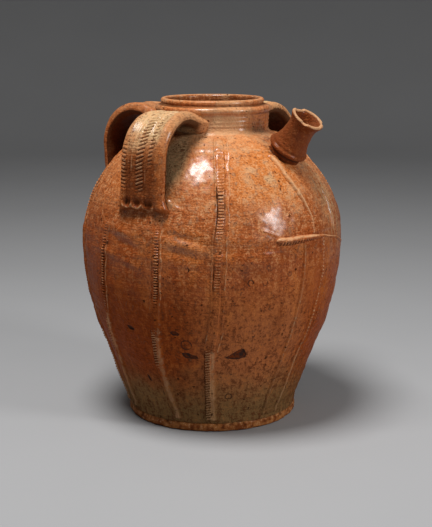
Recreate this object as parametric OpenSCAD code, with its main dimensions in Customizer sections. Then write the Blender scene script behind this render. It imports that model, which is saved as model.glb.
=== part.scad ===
// Large earthenware oil jug: wide mouth, tubular spout, three strap handles
// and notched clay bands laid over a thrown body. Millimetres.
// Origin at the centre of the base, +Z up, +X under the spout.

/* [Body] */
// Overall height, base to lip
height = 400; // [370:1:430]
// Height of the neck, from its seat on the shoulder to the lip
neck_h = 39; // [34:1:46]
// Height of the shoulder, from the widest line to the neck's seat
shoulder_h = 141; // [126:1:156]
// Thickness of the floor slab
foot_h = 12; // [9:0.5:16]
// How far the slab's edge stands out past the wall
foot_proud = 3; // [2.6:0.1:5]
// Rounding of the slab's edge
foot_edge = 2.5; // [1.5:0.1:2.5]
// Outer radius of the wall where it stands on the slab
base_r = 104; // [98:1:110]
// Outer radius at the widest line
belly_r = 162; // [154:1:170]
// Height of the straight taper that runs from the slab up to the flank's curve
taper_h = 92; // [70:1:105]
// How far the top of that taper lies inside the widest line
taper_in = 24.7; // [20:0.1:30]
// Wall thickness of the thrown body
wall = 9; // [7:0.5:11]

/* [Neck] */
// Radius of the mouth's bore
mouth_r = 57; // [52:0.5:62]
// Thickness of the neck's wall
neck_wall = 11; // [9:0.5:13]
// Radius of the rolled lip's section
lip_round = 3.5; // [3:0.1:4]
// How far the flange stands out past the neck wall
flange_proud = 3; // [2:0.5:5]
// Radius of the flange's rolled section
flange_round = 4.5; // [4:0.1:5.5]
// Width of the groove between flange and lip
groove = 1; // [0.5:0.1:2]

/* [Spout] */
// Distance of the spout's middle from the neck, down along the shoulder's curve
spout_drop = 46.4; // [42:0.2:56]
// How far the spout leans back from square to the shoulder, as an angle
spout_lean = 4; // [0:0.5:8]
// Length of the spout from the shoulder to its lip
spout_len = 55; // [48:1:64]
// Radius of the spout's bore
spout_bore_r = 11; // [9:0.5:13]
// Outer radius where the spout meets the shoulder
spout_foot_r = 20; // [18:0.5:21]
// Outer radius of the ridge at the spout's base
ridge_r = 25; // [23.5:0.5:27]
// Radius of the ridge's rolled section
ridge_round = 2.7; // [2:0.1:3]
// Distance of the ridge above the shoulder
ridge_s = 9; // [8.6:0.1:11]
// Outer radius at the spout's waist
waist_r = 17; // [15.5:0.5:18.5]
// Distance of the waist above the shoulder
waist_s = 40; // [34:1:43]
// Outer radius of the spout's lip
spout_lip_r = 20.7; // [19.5:0.1:22]
// Inner radius of the spout's flared mouth
spout_mouth_r = 16.2; // [15:0.1:17]
// Length of the flare inside the spout's mouth
flare = 14; // [10:1:18]
// Radius of the clay roll that seals the spout's foot
luting_round = 4.5; // [4:0.1:5]
// How far that roll stands out past the spout's foot
luting_proud = 2.5; // [2:0.1:3]

/* [Handles] */
// Width of a handle strap
strap_w = 60; // [48:1:64]
// Thickness of a handle strap
strap_t = 14; // [11:0.5:15]
// Radius of the bend at the strap's middle line
bend_r = 48; // [44:1:52]
// Upward slope of the strap where it leaves the neck
arm_slope = 16; // [10:1:20]
// How much thinner the strap is pressed where it runs to the neck
arm_press = 0.4; // [0.3:0.1:0.8]
// Drop of the strap's middle line below the flange at the neck
arm_drop = 9; // [8.5:0.5:12]
// Height of the strap's lower end above the widest line
leg_rise = 50; // [42:1:58]
// How far the strap's middle line lies inside the shoulder at its lower end
leg_sink = 4.3; // [3:0.1:5.5]
// Radius of the finger grooves along the strap
strap_groove_r = 3; // [2:0.5:4]
// Depth of the finger grooves along the strap
strap_groove_depth = 1.5; // [0.5:0.1:1.9]
// Distance of each groove from the strap's middle
strap_groove_y = 8; // [6:0.5:11]
// Radius of the thumb marks that press the strap down
thumb_r = 9; // [7:0.5:11]
// Depth of the thumb marks
thumb_depth = 3; // [1:0.5:4]
// Spacing of the thumb marks across the strap
thumb_pitch = 16; // [14:0.5:18]
// How far round towards the spout the right handle is set, in degrees
right_shift = 4; // [0:0.5:6]

/* [Bands] */
// Width of a notched band
band_w = 15; // [11:0.5:18]
// Height of a notched band above the wall
band_t = 3; // [2:0.1:4]
// Spacing of the notches along a band
notch_pitch = 3.5; // [3:0.1:6]
// Width of a notch at the band's face
notch_w = 1.9; // [1.2:0.1:2.2]
// Depth of a notch
notch_depth = 0.9; // [0.4:0.1:1.5]
// Gap between a band's lower end and the foot slab
band_foot_gap = 2.2; // [1.4:0.1:6]
// Gap between a quarter band's upper end and the neck seat
band_neck_gap = 9; // [7:0.5:14]
// Gap between a flank band's upper end and the handle above it
band_handle_gap = 5; // [3:0.5:12]
// Drop of the joint between a quarter band's two lengths below the widest line
band_joint_drop = 102; // [80:1:130]
// Direction of the quarter band between spout and right handle
front_right_az = -51; // [-56:1:-46]
// Direction of the quarter band between spout and left handle
front_left_az = 45; // [40:1:50]
// Direction of the quarter band between left and back handles
back_left_az = 135; // [130:1:140]
// Direction of the quarter band between back and right handles
back_right_az = -135; // [-140:1:-130]
// Sideways lean of the quarter bands
quarter_lean = 1.7; // [0:0.1:2.5]
// Direction of the flank band on one side of each handle
flank_plus_az = 11; // [9:0.5:14]
// Direction of the flank band on the other side of each handle
flank_minus_az = -17; // [-19:0.5:-12]
// Sideways lean of the outer flank band
flank_lean = 5.7; // [3:0.1:6.5]

/* [Spout straps] */
// Thickness of the wide strap below the spout
apron_t = 2.5; // [1.5:0.1:3.5]
// Width of the wide strap at the spout
apron_top_w = 60; // [54:1:64]
// Width of the wide strap where the cross strap covers it
apron_w = 48; // [40:1:52]
// Width of the wide strap at the foot
apron_foot_w = 26; // [20:1:34]
// How far the wide strap below the cross strap is set towards the right handle
apron_shift = 8; // [4:0.5:12]
// Sideways lean of the wide strap below the cross strap
apron_lean = 4; // [2:0.5:6]
// Height of the cross strap's middle line above the widest line
cross_rise = 24; // [18:1:30]
// Width of the cross strap
cross_w = 8; // [6:0.5:10]
// Height of the cross strap above the wall
cross_t = 5; // [4:0.5:6]
// Length of the cross strap's level part
cross_level = 86; // [76:1:94]
// Length of the cross strap's drooping end
cross_end = 58; // [40:1:66]
// Droop angle of the cross strap's end
cross_droop = 16; // [8:1:20]
// Direction in which the cross strap starts to droop
cross_az = 5; // [3:0.5:8]

/* [Hidden] */
// Fine enough for the body's long curves
$fn = 240;

clay_orange = [0.62, 0.29, 0.14];
clay_brown = [0.48, 0.22, 0.12];
clay_tan = [0.66, 0.40, 0.22];
clay_olive = [0.40, 0.29, 0.17];

// Directions of the handles, counted from the spout
right_az = -90;
left_az = 90;
back_az = 180;
// Reach of a cutting prism past the surface that it cuts
over = 30;

// Heights counted down from the lip; the flank takes what is left
neck_z = height - neck_h;
belly_z = neck_z - shoulder_h;
neck_r = mouth_r + neck_wall;

// Radius of the arc that starts upright and then runs sideways by run over a length of rise,
// to a hundredth, so that the arcs above and below the widest line join exactly
function upright_arc(run, rise) = round(100 * (run * run + rise * rise) / (2 * run)) / 100;

// Shoulder: one arc, upright at the widest line, ending at the neck seat
shoulder_arc = upright_arc(belly_r - neck_r, shoulder_h);
shoulder_cx = belly_r - shoulder_arc;
shoulder_sweep = atan2(shoulder_h, neck_r - shoulder_cx);
function shoulder_r(z) = shoulder_cx + sqrt(shoulder_arc * shoulder_arc - (z - belly_z) * (z - belly_z));

// Flank: an arc below the widest line, and a straight taper from the slab up to that arc
flank_h = belly_z - foot_h - taper_h;
flank_arc = upright_arc(taper_in, flank_h);
flank_cx = belly_r - flank_arc;
flank_sweep = atan2(flank_h, flank_arc - taper_in);
taper_start = [base_r, foot_h];
taper_end = [belly_r - taper_in, foot_h + taper_h];
taper_len = norm(taper_end - taper_start);
taper_dir = (taper_end - taper_start) / taper_len;
taper_normal = [taper_dir[1], -taper_dir[0]];
// Steeper than the arc where they meet, the taper's line goes on inside the arc, as far as
// its point nearest the arc's centre
taper_steep = taper_dir[0] / taper_dir[1] < tan(flank_sweep);
taper_run = ([flank_cx, belly_z] - taper_start) * taper_dir;
taper_top = taper_steep ? taper_run : (belly_z - foot_h + over) / taper_dir[1];

// Neck mouldings; the groove's floor lies inside the top of the flange's roll
lip_z = height - lip_round;
flange_r = neck_r + flange_proud;
flange_z = lip_z - lip_round - groove - flange_round;
groove_floor = 0.8 * flange_round;

// Spout's place on the shoulder curve, as an angle above the widest line, and its slope
spout_seat = shoulder_sweep - spout_drop / shoulder_arc * 180 / PI;
spout_tilt = spout_seat + spout_lean;
spout_at = [shoulder_cx + shoulder_arc * cos(spout_seat), 0, belly_z + shoulder_arc * sin(spout_seat)];
spout_lip_w = spout_lip_r - spout_mouth_r;
spout_rim_s = spout_len - spout_lip_w / 2;

// Handle strap: an arm from the neck, a bend, and a leg down to the shoulder
leg_z = belly_z + leg_rise;
leg_r = shoulder_r(leg_z) - leg_sink;
arm_z = flange_z - flange_round - arm_drop;
bend_x = leg_r - bend_r;
bend_z = arm_z + (bend_x - neck_r) * tan(arm_slope) - bend_r / cos(arm_slope);
// The arm runs on until its edges reach the round neck too
arm_end = sqrt(neck_r * neck_r - strap_w * strap_w / 4);
arm_len = (bend_x - bend_r * sin(arm_slope) - arm_end) / cos(arm_slope) + strap_t / 2;
// The arm starts this far back inside the bend
arm_lap = sqrt(bend_r * arm_press);

// Ends of the bands
band_foot_z = foot_h + band_foot_gap;
band_joint_z = belly_z - band_joint_drop;
band_neck_z = neck_z - band_neck_gap;
flank_top_z = leg_z - band_handle_gap;
cross_z = belly_z + cross_rise;
// Reach of a notch's outline past the band's face
notch_lift = notch_depth / 2;

// Region between the axis and the flank, moved outwards by grow
module flank_region(grow) {
    if (taper_steep) {
        taper_region(grow);
        flank_curve_region(grow);
    } else intersection() {
        taper_region(grow);
        flank_curve_region(grow);
    }
}

// Part of that region inside the taper's line
module taper_region(grow) {
    end = taper_start + taper_top * taper_dir + grow * taper_normal;
    polygon([[0, foot_h], [base_r + grow / taper_dir[1], foot_h], end, [0, end[1]]]);
}

// Part of that region inside the flank's arc; a core fills the middle where the arc's centre
// lies off the axis
module flank_curve_region(grow) {
    core_z = taper_steep ? taper_end[1] : foot_h;
    if (flank_cx > 0) translate([0, core_z]) square([flank_cx, belly_z - core_z]);
    intersection() {
        translate([flank_cx, belly_z]) circle(flank_arc + grow);
        translate([0, foot_h]) square([belly_r + over, belly_z - foot_h]);
    }
}

// Region between the axis and the shoulder, moved outwards by grow
module shoulder_region(grow) {
    intersection() {
        translate([shoulder_cx, belly_z]) circle(shoulder_arc + grow);
        translate([0, belly_z]) square([belly_r + over, neck_z - belly_z]);
    }
}

module neck_region() {
    translate([0, neck_z]) square([neck_r, flange_z - neck_z]);
    translate([0, flange_z]) square([flange_r - flange_round, groove_floor]);
    translate([0, flange_z]) square([mouth_r + lip_round, lip_z - flange_z]);
    translate([flange_r - flange_round, flange_z]) circle(flange_round);
    translate([mouth_r + lip_round, lip_z]) circle(lip_round);
}

// Solid upper body with its neck, which trims the pieces that stand on it
module upper_body() {
    rotate_extrude() shoulder_region(0);
    rotate_extrude() neck_region();
}

// Moves a piece that stands on +Z to the spout's seat and slope
module at_spout() {
    translate(spout_at) rotate([0, 90 - spout_tilt, 0]) children();
}

module floor_slab() {
    color(clay_olive) rotate_extrude() {
        square([base_r + foot_proud - foot_edge, foot_h]);
        translate([0, foot_edge]) square([base_r + foot_proud, foot_h - 2 * foot_edge]);
        for (z = [foot_edge, foot_h - foot_edge])
            translate([base_r + foot_proud - foot_edge, z]) circle(foot_edge);
    }
}

module lower_wall() {
    color(clay_brown) rotate_extrude() difference() {
        flank_region(0);
        flank_region(-wall);
    }
}

module shoulder_wall() {
    color(clay_orange) difference() {
        rotate_extrude() difference() {
            shoulder_region(0);
            shoulder_region(-wall);
            translate([0, belly_z]) square([mouth_r, neck_z]);
        }
        at_spout() translate([0, 0, -2 * over]) cylinder(r = spout_bore_r, h = 3 * over);
    }
}

module neck_collar() {
    color(clay_orange) rotate_extrude() difference() {
        neck_region();
        translate([0, neck_z - over]) square([mouth_r, height]);
    }
}

// Half section of the spout, with its foot run down into the shoulder. The waist's curve
// starts inside the ridge, and the lip's roll laps the flare on both sides
module spout_section() {
    ridge_lap = ridge_round / 4;
    lip_lap = spout_lip_w / 10;
    waist_arc = upright_arc(ridge_r - ridge_lap - waist_r, waist_s - ridge_s);
    difference() {
        union() {
            translate([0, -wall]) square([spout_foot_r, wall + ridge_s]);
            difference() {
                translate([0, ridge_s]) square([ridge_r, spout_rim_s - ridge_s]);
                translate([waist_r + waist_arc, waist_s]) circle(waist_arc);
            }
            polygon([
                [0, waist_s], [waist_r - lip_lap, waist_s],
                [spout_lip_r - lip_lap, spout_rim_s], [0, spout_rim_s],
            ]);
            translate([ridge_r - ridge_round, ridge_s]) circle(ridge_round);
        }
        translate([0, -wall - over]) square([spout_bore_r, over + wall + spout_len]);
        polygon([
            [0, spout_rim_s - flare], [spout_bore_r, spout_rim_s - flare],
            [spout_mouth_r + lip_lap, spout_rim_s], [0, spout_rim_s],
        ]);
    }
    translate([spout_mouth_r + spout_lip_w / 2, spout_rim_s]) circle(spout_lip_w / 2);
}

module spout_tube() {
    color(clay_brown) difference() {
        at_spout() rotate_extrude() spout_section();
        rotate_extrude() shoulder_region(0);
    }
}

module spout_luting_ring() {
    luting_s = luting_round / 4;
    color(clay_tan) difference() {
        at_spout() rotate_extrude() difference() {
            translate([spout_foot_r + luting_proud, luting_s]) circle(luting_round);
            translate([0, -wall]) square([spout_foot_r, 2 * wall]);
        }
        rotate_extrude() shoulder_region(0);
    }
}

// Section of a handle strap, drawn in by press all round: thickness along x, width along y,
// finger grooves on the outer face
module strap_section(press) {
    difference() {
        union() {
            square([strap_t - 2 * press, strap_w - strap_t], center = true);
            for (side = [-1, 1])
                translate([0, side * (strap_w - strap_t) / 2]) circle(strap_t / 2 - press);
        }
        for (side = [-1, 1])
            translate([strap_t / 2 + strap_groove_r - strap_groove_depth, side * strap_groove_y])
                circle(strap_groove_r + press);
    }
}

// Handle that stands out from the neck along +X and comes down on the shoulder
module strap_sweep() {
    turn = 90 + arm_slope;
    translate([bend_x, 0, bend_z]) rotate([90, 0, 0]) {
        rotate_extrude(angle = turn) translate([bend_r, 0]) strap_section(0);
        rotate([0, 0, turn]) translate([bend_r, -arm_lap, 0]) rotate([-90, 0, 0])
            linear_extrude(arm_lap + arm_len) strap_section(arm_press);
        translate([bend_r, 0, 0]) rotate([90, 0, 0])
            linear_extrude(bend_z - leg_z) strap_section(0);
    }
}

module handle(az) {
    color(clay_tan) rotate([0, 0, az]) difference() {
        strap_sweep();
        upper_body();
        for (i = [-1:1])
            translate([leg_r + strap_t / 2 + thumb_r - thumb_depth, i * thumb_pitch, leg_z + thumb_r])
                sphere(thumb_r);
    }
}

// Notches across a band, evenly spaced along the taper, the flank's arc and the shoulder
module notches() {
    taper_n = round(taper_len / notch_pitch);
    for (i = [0.5:taper_n])
        translate(taper_start + i / taper_n * taper_len * taper_dir + band_t * taper_normal)
            rotate(atan2(taper_normal[1], taper_normal[0])) notch();
    arc_notches(flank_cx, flank_arc, -flank_sweep);
    arc_notches(shoulder_cx, shoulder_arc, shoulder_sweep);
}

// Outline of one notch in a face that looks along +X
module notch() {
    half_w = notch_w / 2 * (1 + notch_lift / notch_depth);
    polygon([[-notch_depth, 0], [notch_lift, -half_w], [notch_lift, half_w]]);
}

// Notches along an arc that leaves the widest line and turns by sweep
module arc_notches(cx, arc, sweep) {
    n = round(arc * abs(sweep) * PI / 180 / notch_pitch);
    for (i = [0.5:n])
        translate([cx, belly_z]) rotate(i / n * sweep) translate([arc + band_t, 0]) notch();
}

// Prism that runs from the axis out through the wall in the direction az; its outline is
// drawn across and up as seen from outside
module facing(az) {
    rotate([0, 0, az]) rotate([90, 0, 90]) linear_extrude(belly_r + over) children();
}

// Layer of clay of thickness t lying on the body inside an outline
module laid_clay(az, t, notched = false) {
    half_sector = 40;
    intersection() {
        rotate([0, 0, az - half_sector]) rotate_extrude(angle = 2 * half_sector) difference() {
            union() {
                flank_region(t);
                shoulder_region(t);
            }
            flank_region(0);
            shoulder_region(0);
            if (notched) notches();
        }
        facing(az) children();
    }
}

// Upright band from z0 to z1, moved sideways with height by its lean
module band_outline(w, z0, z1, lean) {
    function shift(z) = (z - belly_z) * tan(lean);
    polygon([
        [shift(z0) - w / 2, z0], [shift(z0) + w / 2, z0],
        [shift(z1) + w / 2, z1], [shift(z1) - w / 2, z1],
    ]);
}

module band(az, z0, z1, lean) {
    color(clay_tan) laid_clay(az, band_t, notched = true) band_outline(band_w, z0, z1, lean);
}

module quarter_band_upper(az) {
    band(az, band_joint_z, band_neck_z, quarter_lean);
}

module quarter_band_lower(az) {
    band(az, band_foot_z, band_joint_z, quarter_lean);
}

module flank_band_plus(az) {
    band(az + flank_plus_az, band_foot_z, flank_top_z, 0);
}

module flank_band_minus(az) {
    band(az + flank_minus_az, band_foot_z, flank_top_z, flank_lean);
}

// Wide strap from the spout's foot down to the cross strap
module spout_strap_upper() {
    top_z = spout_at[2];
    color(clay_orange) difference() {
        laid_clay(0, apron_t) polygon([
            [-apron_w / 2, cross_z], [apron_w / 2, cross_z],
            [apron_top_w / 2, top_z], [-apron_top_w / 2, top_z],
        ]);
        facing(cross_az) cross_outline();
        at_spout() translate([0, 0, -over])
            cylinder(r = spout_foot_r + luting_proud + luting_round, h = 2 * over);
    }
}

// Wide strap from the cross strap down to the foot
module spout_strap_lower() {
    foot_shift = apron_shift + (cross_z - band_foot_z) * tan(apron_lean);
    color(clay_brown) difference() {
        laid_clay(0, apron_t) polygon([
            [-foot_shift - apron_foot_w / 2, band_foot_z], [-foot_shift + apron_foot_w / 2, band_foot_z],
            [-apron_shift + apron_w / 2, cross_z], [-apron_shift - apron_w / 2, cross_z],
        ]);
        facing(cross_az) cross_outline();
    }
}

// Outline of the cross strap: level, then drooping towards the left handle
module cross_outline() {
    fall = cross_end * tan(cross_droop);
    low_z = cross_z - cross_w / 2;
    high_z = cross_z + cross_w / 2;
    polygon([
        [-cross_level, low_z], [0, low_z], [cross_end, low_z - fall],
        [cross_end, high_z - fall], [0, high_z], [-cross_level, high_z],
    ]);
}

module cross_strap() {
    color(clay_tan) laid_clay(cross_az, cross_t) cross_outline();
}

floor_slab();
lower_wall();
shoulder_wall();
neck_collar();
spout_tube();
spout_luting_ring();
handle(right_az + right_shift);  // handle_right
handle(left_az);  // handle_left
handle(back_az);  // handle_back
quarter_band_upper(front_right_az);  // band_front_right_upper
quarter_band_lower(front_right_az);  // band_front_right_lower
quarter_band_upper(front_left_az);  // band_front_left_upper
quarter_band_lower(front_left_az);  // band_front_left_lower
quarter_band_upper(back_left_az);  // band_back_left_upper
quarter_band_lower(back_left_az);  // band_back_left_lower
quarter_band_upper(back_right_az);  // band_back_right_upper
quarter_band_lower(back_right_az);  // band_back_right_lower
flank_band_plus(right_az);  // band_right_handle_fore
flank_band_minus(right_az);  // band_right_handle_aft
flank_band_plus(left_az);  // band_left_handle_aft
flank_band_minus(left_az);  // band_left_handle_fore
flank_band_plus(back_az);  // band_back_handle_right
flank_band_minus(back_az);  // band_back_handle_left
spout_strap_upper();
spout_strap_lower();
cross_strap();
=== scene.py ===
"""Throws, hand-builds and glazes a large earthenware oil jug around its solid model.

The frame gives the solids, and each piece made here stands for one or more of them. Lengths are
in metres. Directions round the jug are in degrees, counted from the spout.
"""

import functools
import math

import bpy
import numpy as np
from mathutils import Matrix, Vector


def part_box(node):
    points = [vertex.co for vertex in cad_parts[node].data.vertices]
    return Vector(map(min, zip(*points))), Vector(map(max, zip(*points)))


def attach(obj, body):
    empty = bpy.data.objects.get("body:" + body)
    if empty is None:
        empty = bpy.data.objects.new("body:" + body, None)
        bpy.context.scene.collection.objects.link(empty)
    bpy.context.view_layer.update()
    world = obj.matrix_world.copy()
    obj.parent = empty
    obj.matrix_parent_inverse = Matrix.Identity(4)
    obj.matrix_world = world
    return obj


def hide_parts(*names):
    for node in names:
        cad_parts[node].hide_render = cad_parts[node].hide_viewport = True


bl_info = {
    "name": "Oil Jug",
    "version": (1, 0, 0),
    "blender": (4, 5, 0),
    "location": "3D View > Sidebar > Oil Jug",
    "description": "Throws, hand-builds and glazes a spouted oil jug around its solid model",
    "category": "Add Mesh",
}

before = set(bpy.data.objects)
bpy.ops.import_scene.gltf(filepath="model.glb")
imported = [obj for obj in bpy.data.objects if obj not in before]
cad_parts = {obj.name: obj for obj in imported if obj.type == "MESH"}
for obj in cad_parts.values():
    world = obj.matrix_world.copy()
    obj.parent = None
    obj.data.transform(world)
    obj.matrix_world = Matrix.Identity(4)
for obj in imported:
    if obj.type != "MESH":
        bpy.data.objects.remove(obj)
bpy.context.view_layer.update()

MM = 0.001
FOOT_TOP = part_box("floor_slab")[1].z
FOOT_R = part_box("floor_slab")[1].x
BELLY_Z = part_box("lower_wall")[1].z
BELLY_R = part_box("lower_wall")[1].x
NECK_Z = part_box("neck_collar")[0].z
LIP_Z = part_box("neck_collar")[1].z
BAND_JOINT_Z = 118 * MM
CROSS_Z = BELLY_Z + 24 * MM
SPOUT_BORE_R = 11 * MM
SPOUT_LIP_R = 2.25 * MM
SPOUT_ROOT = -8 * MM
HANDLES = {"right": -86, "left": 90, "back": 180}
# Length of the cross strap, and spacing of the notches on it and on the handles, in millimetres
CROSS_LENGTH = 162
NOTCH_PITCH = 4.3
# Distance within which vertices are welded, the mark of plain glaze, and of glaze far from any chip
WELD = 1e-6
EVEN = 0.5
UNCHIPPED = 6.0
# Steps round each thrown piece, and spacing of the rows along the bands and the wide strap
STEPS = {"foot": 420, "wall": 512, "neck": 384, "spout": 220}
BAND_ROW = 0.62 * MM
APRON_ROW = 0.8 * MM
# The floor's side, where it starts and ends to sweep up, and how high
FLOOR_SIZE = 16
SWEEP = (3.0, 7.0)
SWEEP_HIGH = 2.5
# Lamps: direction, rise, distance and size, and the height on the axis that they face
LAMPS = {"key": (-93, 74, 1.75, (0.72, 0.72)), "fill": (4, 22, 1.9, (0.46, 0.56))}
AIM_Z = 0.26


def setting(name, description, default, **kind):
    """A property that holds one number."""
    return bpy.props.FloatProperty(name=name, description=description, default=default, **kind)


length = functools.partial(setting, unit="LENGTH", precision=4)
angle = functools.partial(setting, unit="ROTATION")
factor = functools.partial(setting, min=0, max=1, subtype="FACTOR")
power = functools.partial(setting, unit="POWER")


def colour(name, description, default):
    """A property that holds a linear colour."""
    return bpy.props.FloatVectorProperty(
        name=name, description=description, default=default, subtype="COLOR", size=3, min=0, max=1)


class JugSizes(bpy.types.PropertyGroup):
    """Sizes of the thrown and hand-built pieces."""

    base_r: length("Base radius", "Wall's outer radius where it stands on the slab", 104 * MM)
    taper_h: length("Taper height", "Height of the straight taper above the slab", 92 * MM)
    taper_in: length("Taper inset", "How far the taper's top lies inside the widest line", 24.7 * MM)
    wall: length("Wall", "Thickness of the thrown wall", 9 * MM)
    mouth_r: length("Mouth radius", "Radius of the mouth's bore", 57 * MM)
    neck_wall: length("Neck wall", "Thickness of the neck's wall", 11 * MM)
    ripple: length("Throwing rings", "Height of the rings left by the thrower's fingers", 0.4 * MM)
    dent: length("Unevenness", "How far the wall strays from true", 0.8 * MM)
    scar_depth: length("Chip depth", "Depth of the flaked patches", 1.1 * MM)
    spout_drop: length("Spout drop", "Spout's middle below the neck, along the shoulder", 46.4 * MM)
    spout_lean: angle("Spout lean", "How far the spout leans back from the shoulder", math.radians(4))
    spout_len: length("Spout length", "Length from the shoulder to the spout's lip", 55 * MM)
    strap_w: length("Strap width", "Width of a handle strap", 60 * MM)
    strap_t: length("Strap thickness", "Thickness of a handle strap", 14 * MM)
    bend_r: length("Bend radius", "Radius of a handle's bend at its middle line", 48 * MM)
    arm_slope: angle("Arm slope", "Upward slope of a handle where it leaves the neck", math.radians(16))
    leg_rise: length("Leg rise", "Height of a handle's lower end above the widest line", 50 * MM)
    leg_sink: length("Leg sink", "How far a handle's middle line lies in the shoulder", 4.3 * MM)
    band_t: length("Band height", "Most that a notched band stands above the wall", 3.4 * MM)
    rung_pitch: length("Rung pitch", "Spacing of the rolled rungs on a band", 3.4 * MM)
    apron_t: length("Spout strap height", "Height of the wide strap below the spout", 2 * MM)
    cross_w: length("Cross strap width", "Width of the strap that crosses below the spout", 8 * MM)
    cross_t: length("Cross strap height", "Height of that strap above the wall", 5 * MM)


class JugGlaze(bpy.types.PropertyGroup):
    """Colours and gloss of the glaze and the clay."""

    top: colour("Shoulder", "Glaze on the lit shoulder", (0.50, 0.145, 0.036))
    middle: colour("Middle", "Glaze round the widest line", (0.37, 0.080, 0.015))
    low: colour("Flank", "Glaze on the flank", (0.28, 0.050, 0.007))
    russet: colour("Russet", "Browner glaze on the flank below the spout", (0.395, 0.125, 0.043))
    # Olive and amber mixed also paint the shade under the handles.
    olive: colour("Olive", "Thin olive glaze above the foot", (0.212, 0.114, 0.044))
    amber: colour("Amber", "Thick yellow-green glaze by the neck and spout", (0.66, 0.46, 0.24))
    orange: colour("Orange", "Brightest orange on the shoulder", (0.61, 0.185, 0.038))
    # Umber also paints shade inside the mouth and on the right flank.
    umber: colour("Umber", "Dark red-brown of the spout and the handles' feet", (0.175, 0.036, 0.008))
    # Pale also paints light on the front of the neck and on the cross strap's top.
    pale: colour("Worn ridges", "Clay that shows where the glaze has worn", (0.72, 0.41, 0.21))
    # Dark also paints shade in hollows and under ridges on the neck, bands, handles and spout.
    dark: colour("Grooves", "Glaze pooled in the grooves", (0.060, 0.020, 0.008))
    scar: colour("Chips", "Clay in the flaked patches", (0.045, 0.022, 0.016))
    bare: colour("Bare clay", "Unglazed clay of the foot's edge", (0.42, 0.155, 0.045))
    gloss: factor("Roughness", "Roughness of sound glaze", 0.45)
    coat: factor("Coat", "Clear glaze over the colour on the shoulder", 0.95)


class JugStage(bpy.types.PropertyGroup):
    """Camera, lamps and floor."""

    camera_far: length("Camera distance", "Distance of the camera from the jug's axis", 1504.5 * MM)
    camera_z: length("Camera height", "Height of the camera above the floor", 504.6 * MM)
    camera_turn: angle("Camera turn", "Direction in which the camera looks, from +Y", math.radians(36))
    camera_dip: angle("Camera dip", "How far the camera looks down", math.radians(11.87))
    lens: setting("Lens", "Focal length", 82.29, unit="CAMERA")
    shift: setting("Shift", "Sideways shift of the frame", 0.0072, precision=4)
    key: power("Key lamp", "Power of the large lamp above and to the left", 34)
    fill: power("Fill lamp", "Power of the lamp to the right", 14)
    ambient: factor("Ambient", "Brightness of the even light from all round", 0.11)
    floor: colour("Floor", "Colour of the floor and the backdrop", (0.43, 0.43, 0.435))


def smooth(x, low, high):
    """A soft step from 0 at low to 1 at high, which may lie either way round."""
    t = np.clip((x - low) / (high - low), 0, 1)
    return t * t * (3 - 2 * t)


def window(x, low, high, edge):
    """1 between low and high, with soft edges."""
    return smooth(x, low - edge, low + edge) * (1 - smooth(x, high - edge, high + edge))


def ridge(x, middle, half):
    """A rounded ridge of height 1."""
    return np.exp(-((x - middle) / half) ** 2)


def lumps(points, size, seed):
    """Smooth unevenness from -1 to 1 at the points, in lumps about size across."""
    table = np.random.default_rng(seed).uniform(-1, 1, 4096)
    scaled = np.asarray(points, float) / size
    cell = np.floor(scaled).astype(np.int64)
    part = scaled - cell
    part = part * part * (3 - 2 * part)
    total = np.zeros(len(scaled))
    for corner in np.ndindex(2, 2, 2):
        place = (cell + corner) * (73856093, 19349663, 83492791)
        index = np.bitwise_xor.reduce(place, axis=1) % len(table)
        total += np.where(corner, part, 1 - part).prod(axis=1) * table[index]
    return total


def wander(along, size, seed):
    """Unevenness from -1 to 1 along one line."""
    return lumps(np.stack([0 * along, 0 * along, along], axis=-1), size, seed)


def outside_distance(x, y, corners):
    """Signed distance of the points (x, y) from a closed outline, negative inside it."""
    best = np.full(x.shape, np.inf)
    inside = np.zeros(x.shape, bool)
    for (ax, ay), (bx, by) in zip(corners, corners[1:] + corners[:1]):
        ex, ey = bx - ax, by - ay
        t = np.clip(((x - ax) * ex + (y - ay) * ey) / (ex * ex + ey * ey), 0, 1)
        best = np.minimum(best, np.hypot(x - ax - t * ex, y - ay - t * ey))
        if ay != by:
            crossed = (ay > y) != (by > y)
            inside ^= crossed & (x < ax + (y - ay) / (by - ay) * ex)
    return np.where(inside, -best, best)


def upright_arc(run, rise):
    """Radius of an arc that starts upright and runs sideways by run over a height of rise."""
    return (run * run + rise * rise) / (2 * run)


def arc_points(cx, cz, radius, start, end, count):
    """Points along an arc in a section, from one angle to another in degrees."""
    turn = np.radians(np.linspace(start, end, count))
    return [(cx + radius * math.cos(a), cz + radius * math.sin(a)) for a in turn]


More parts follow.
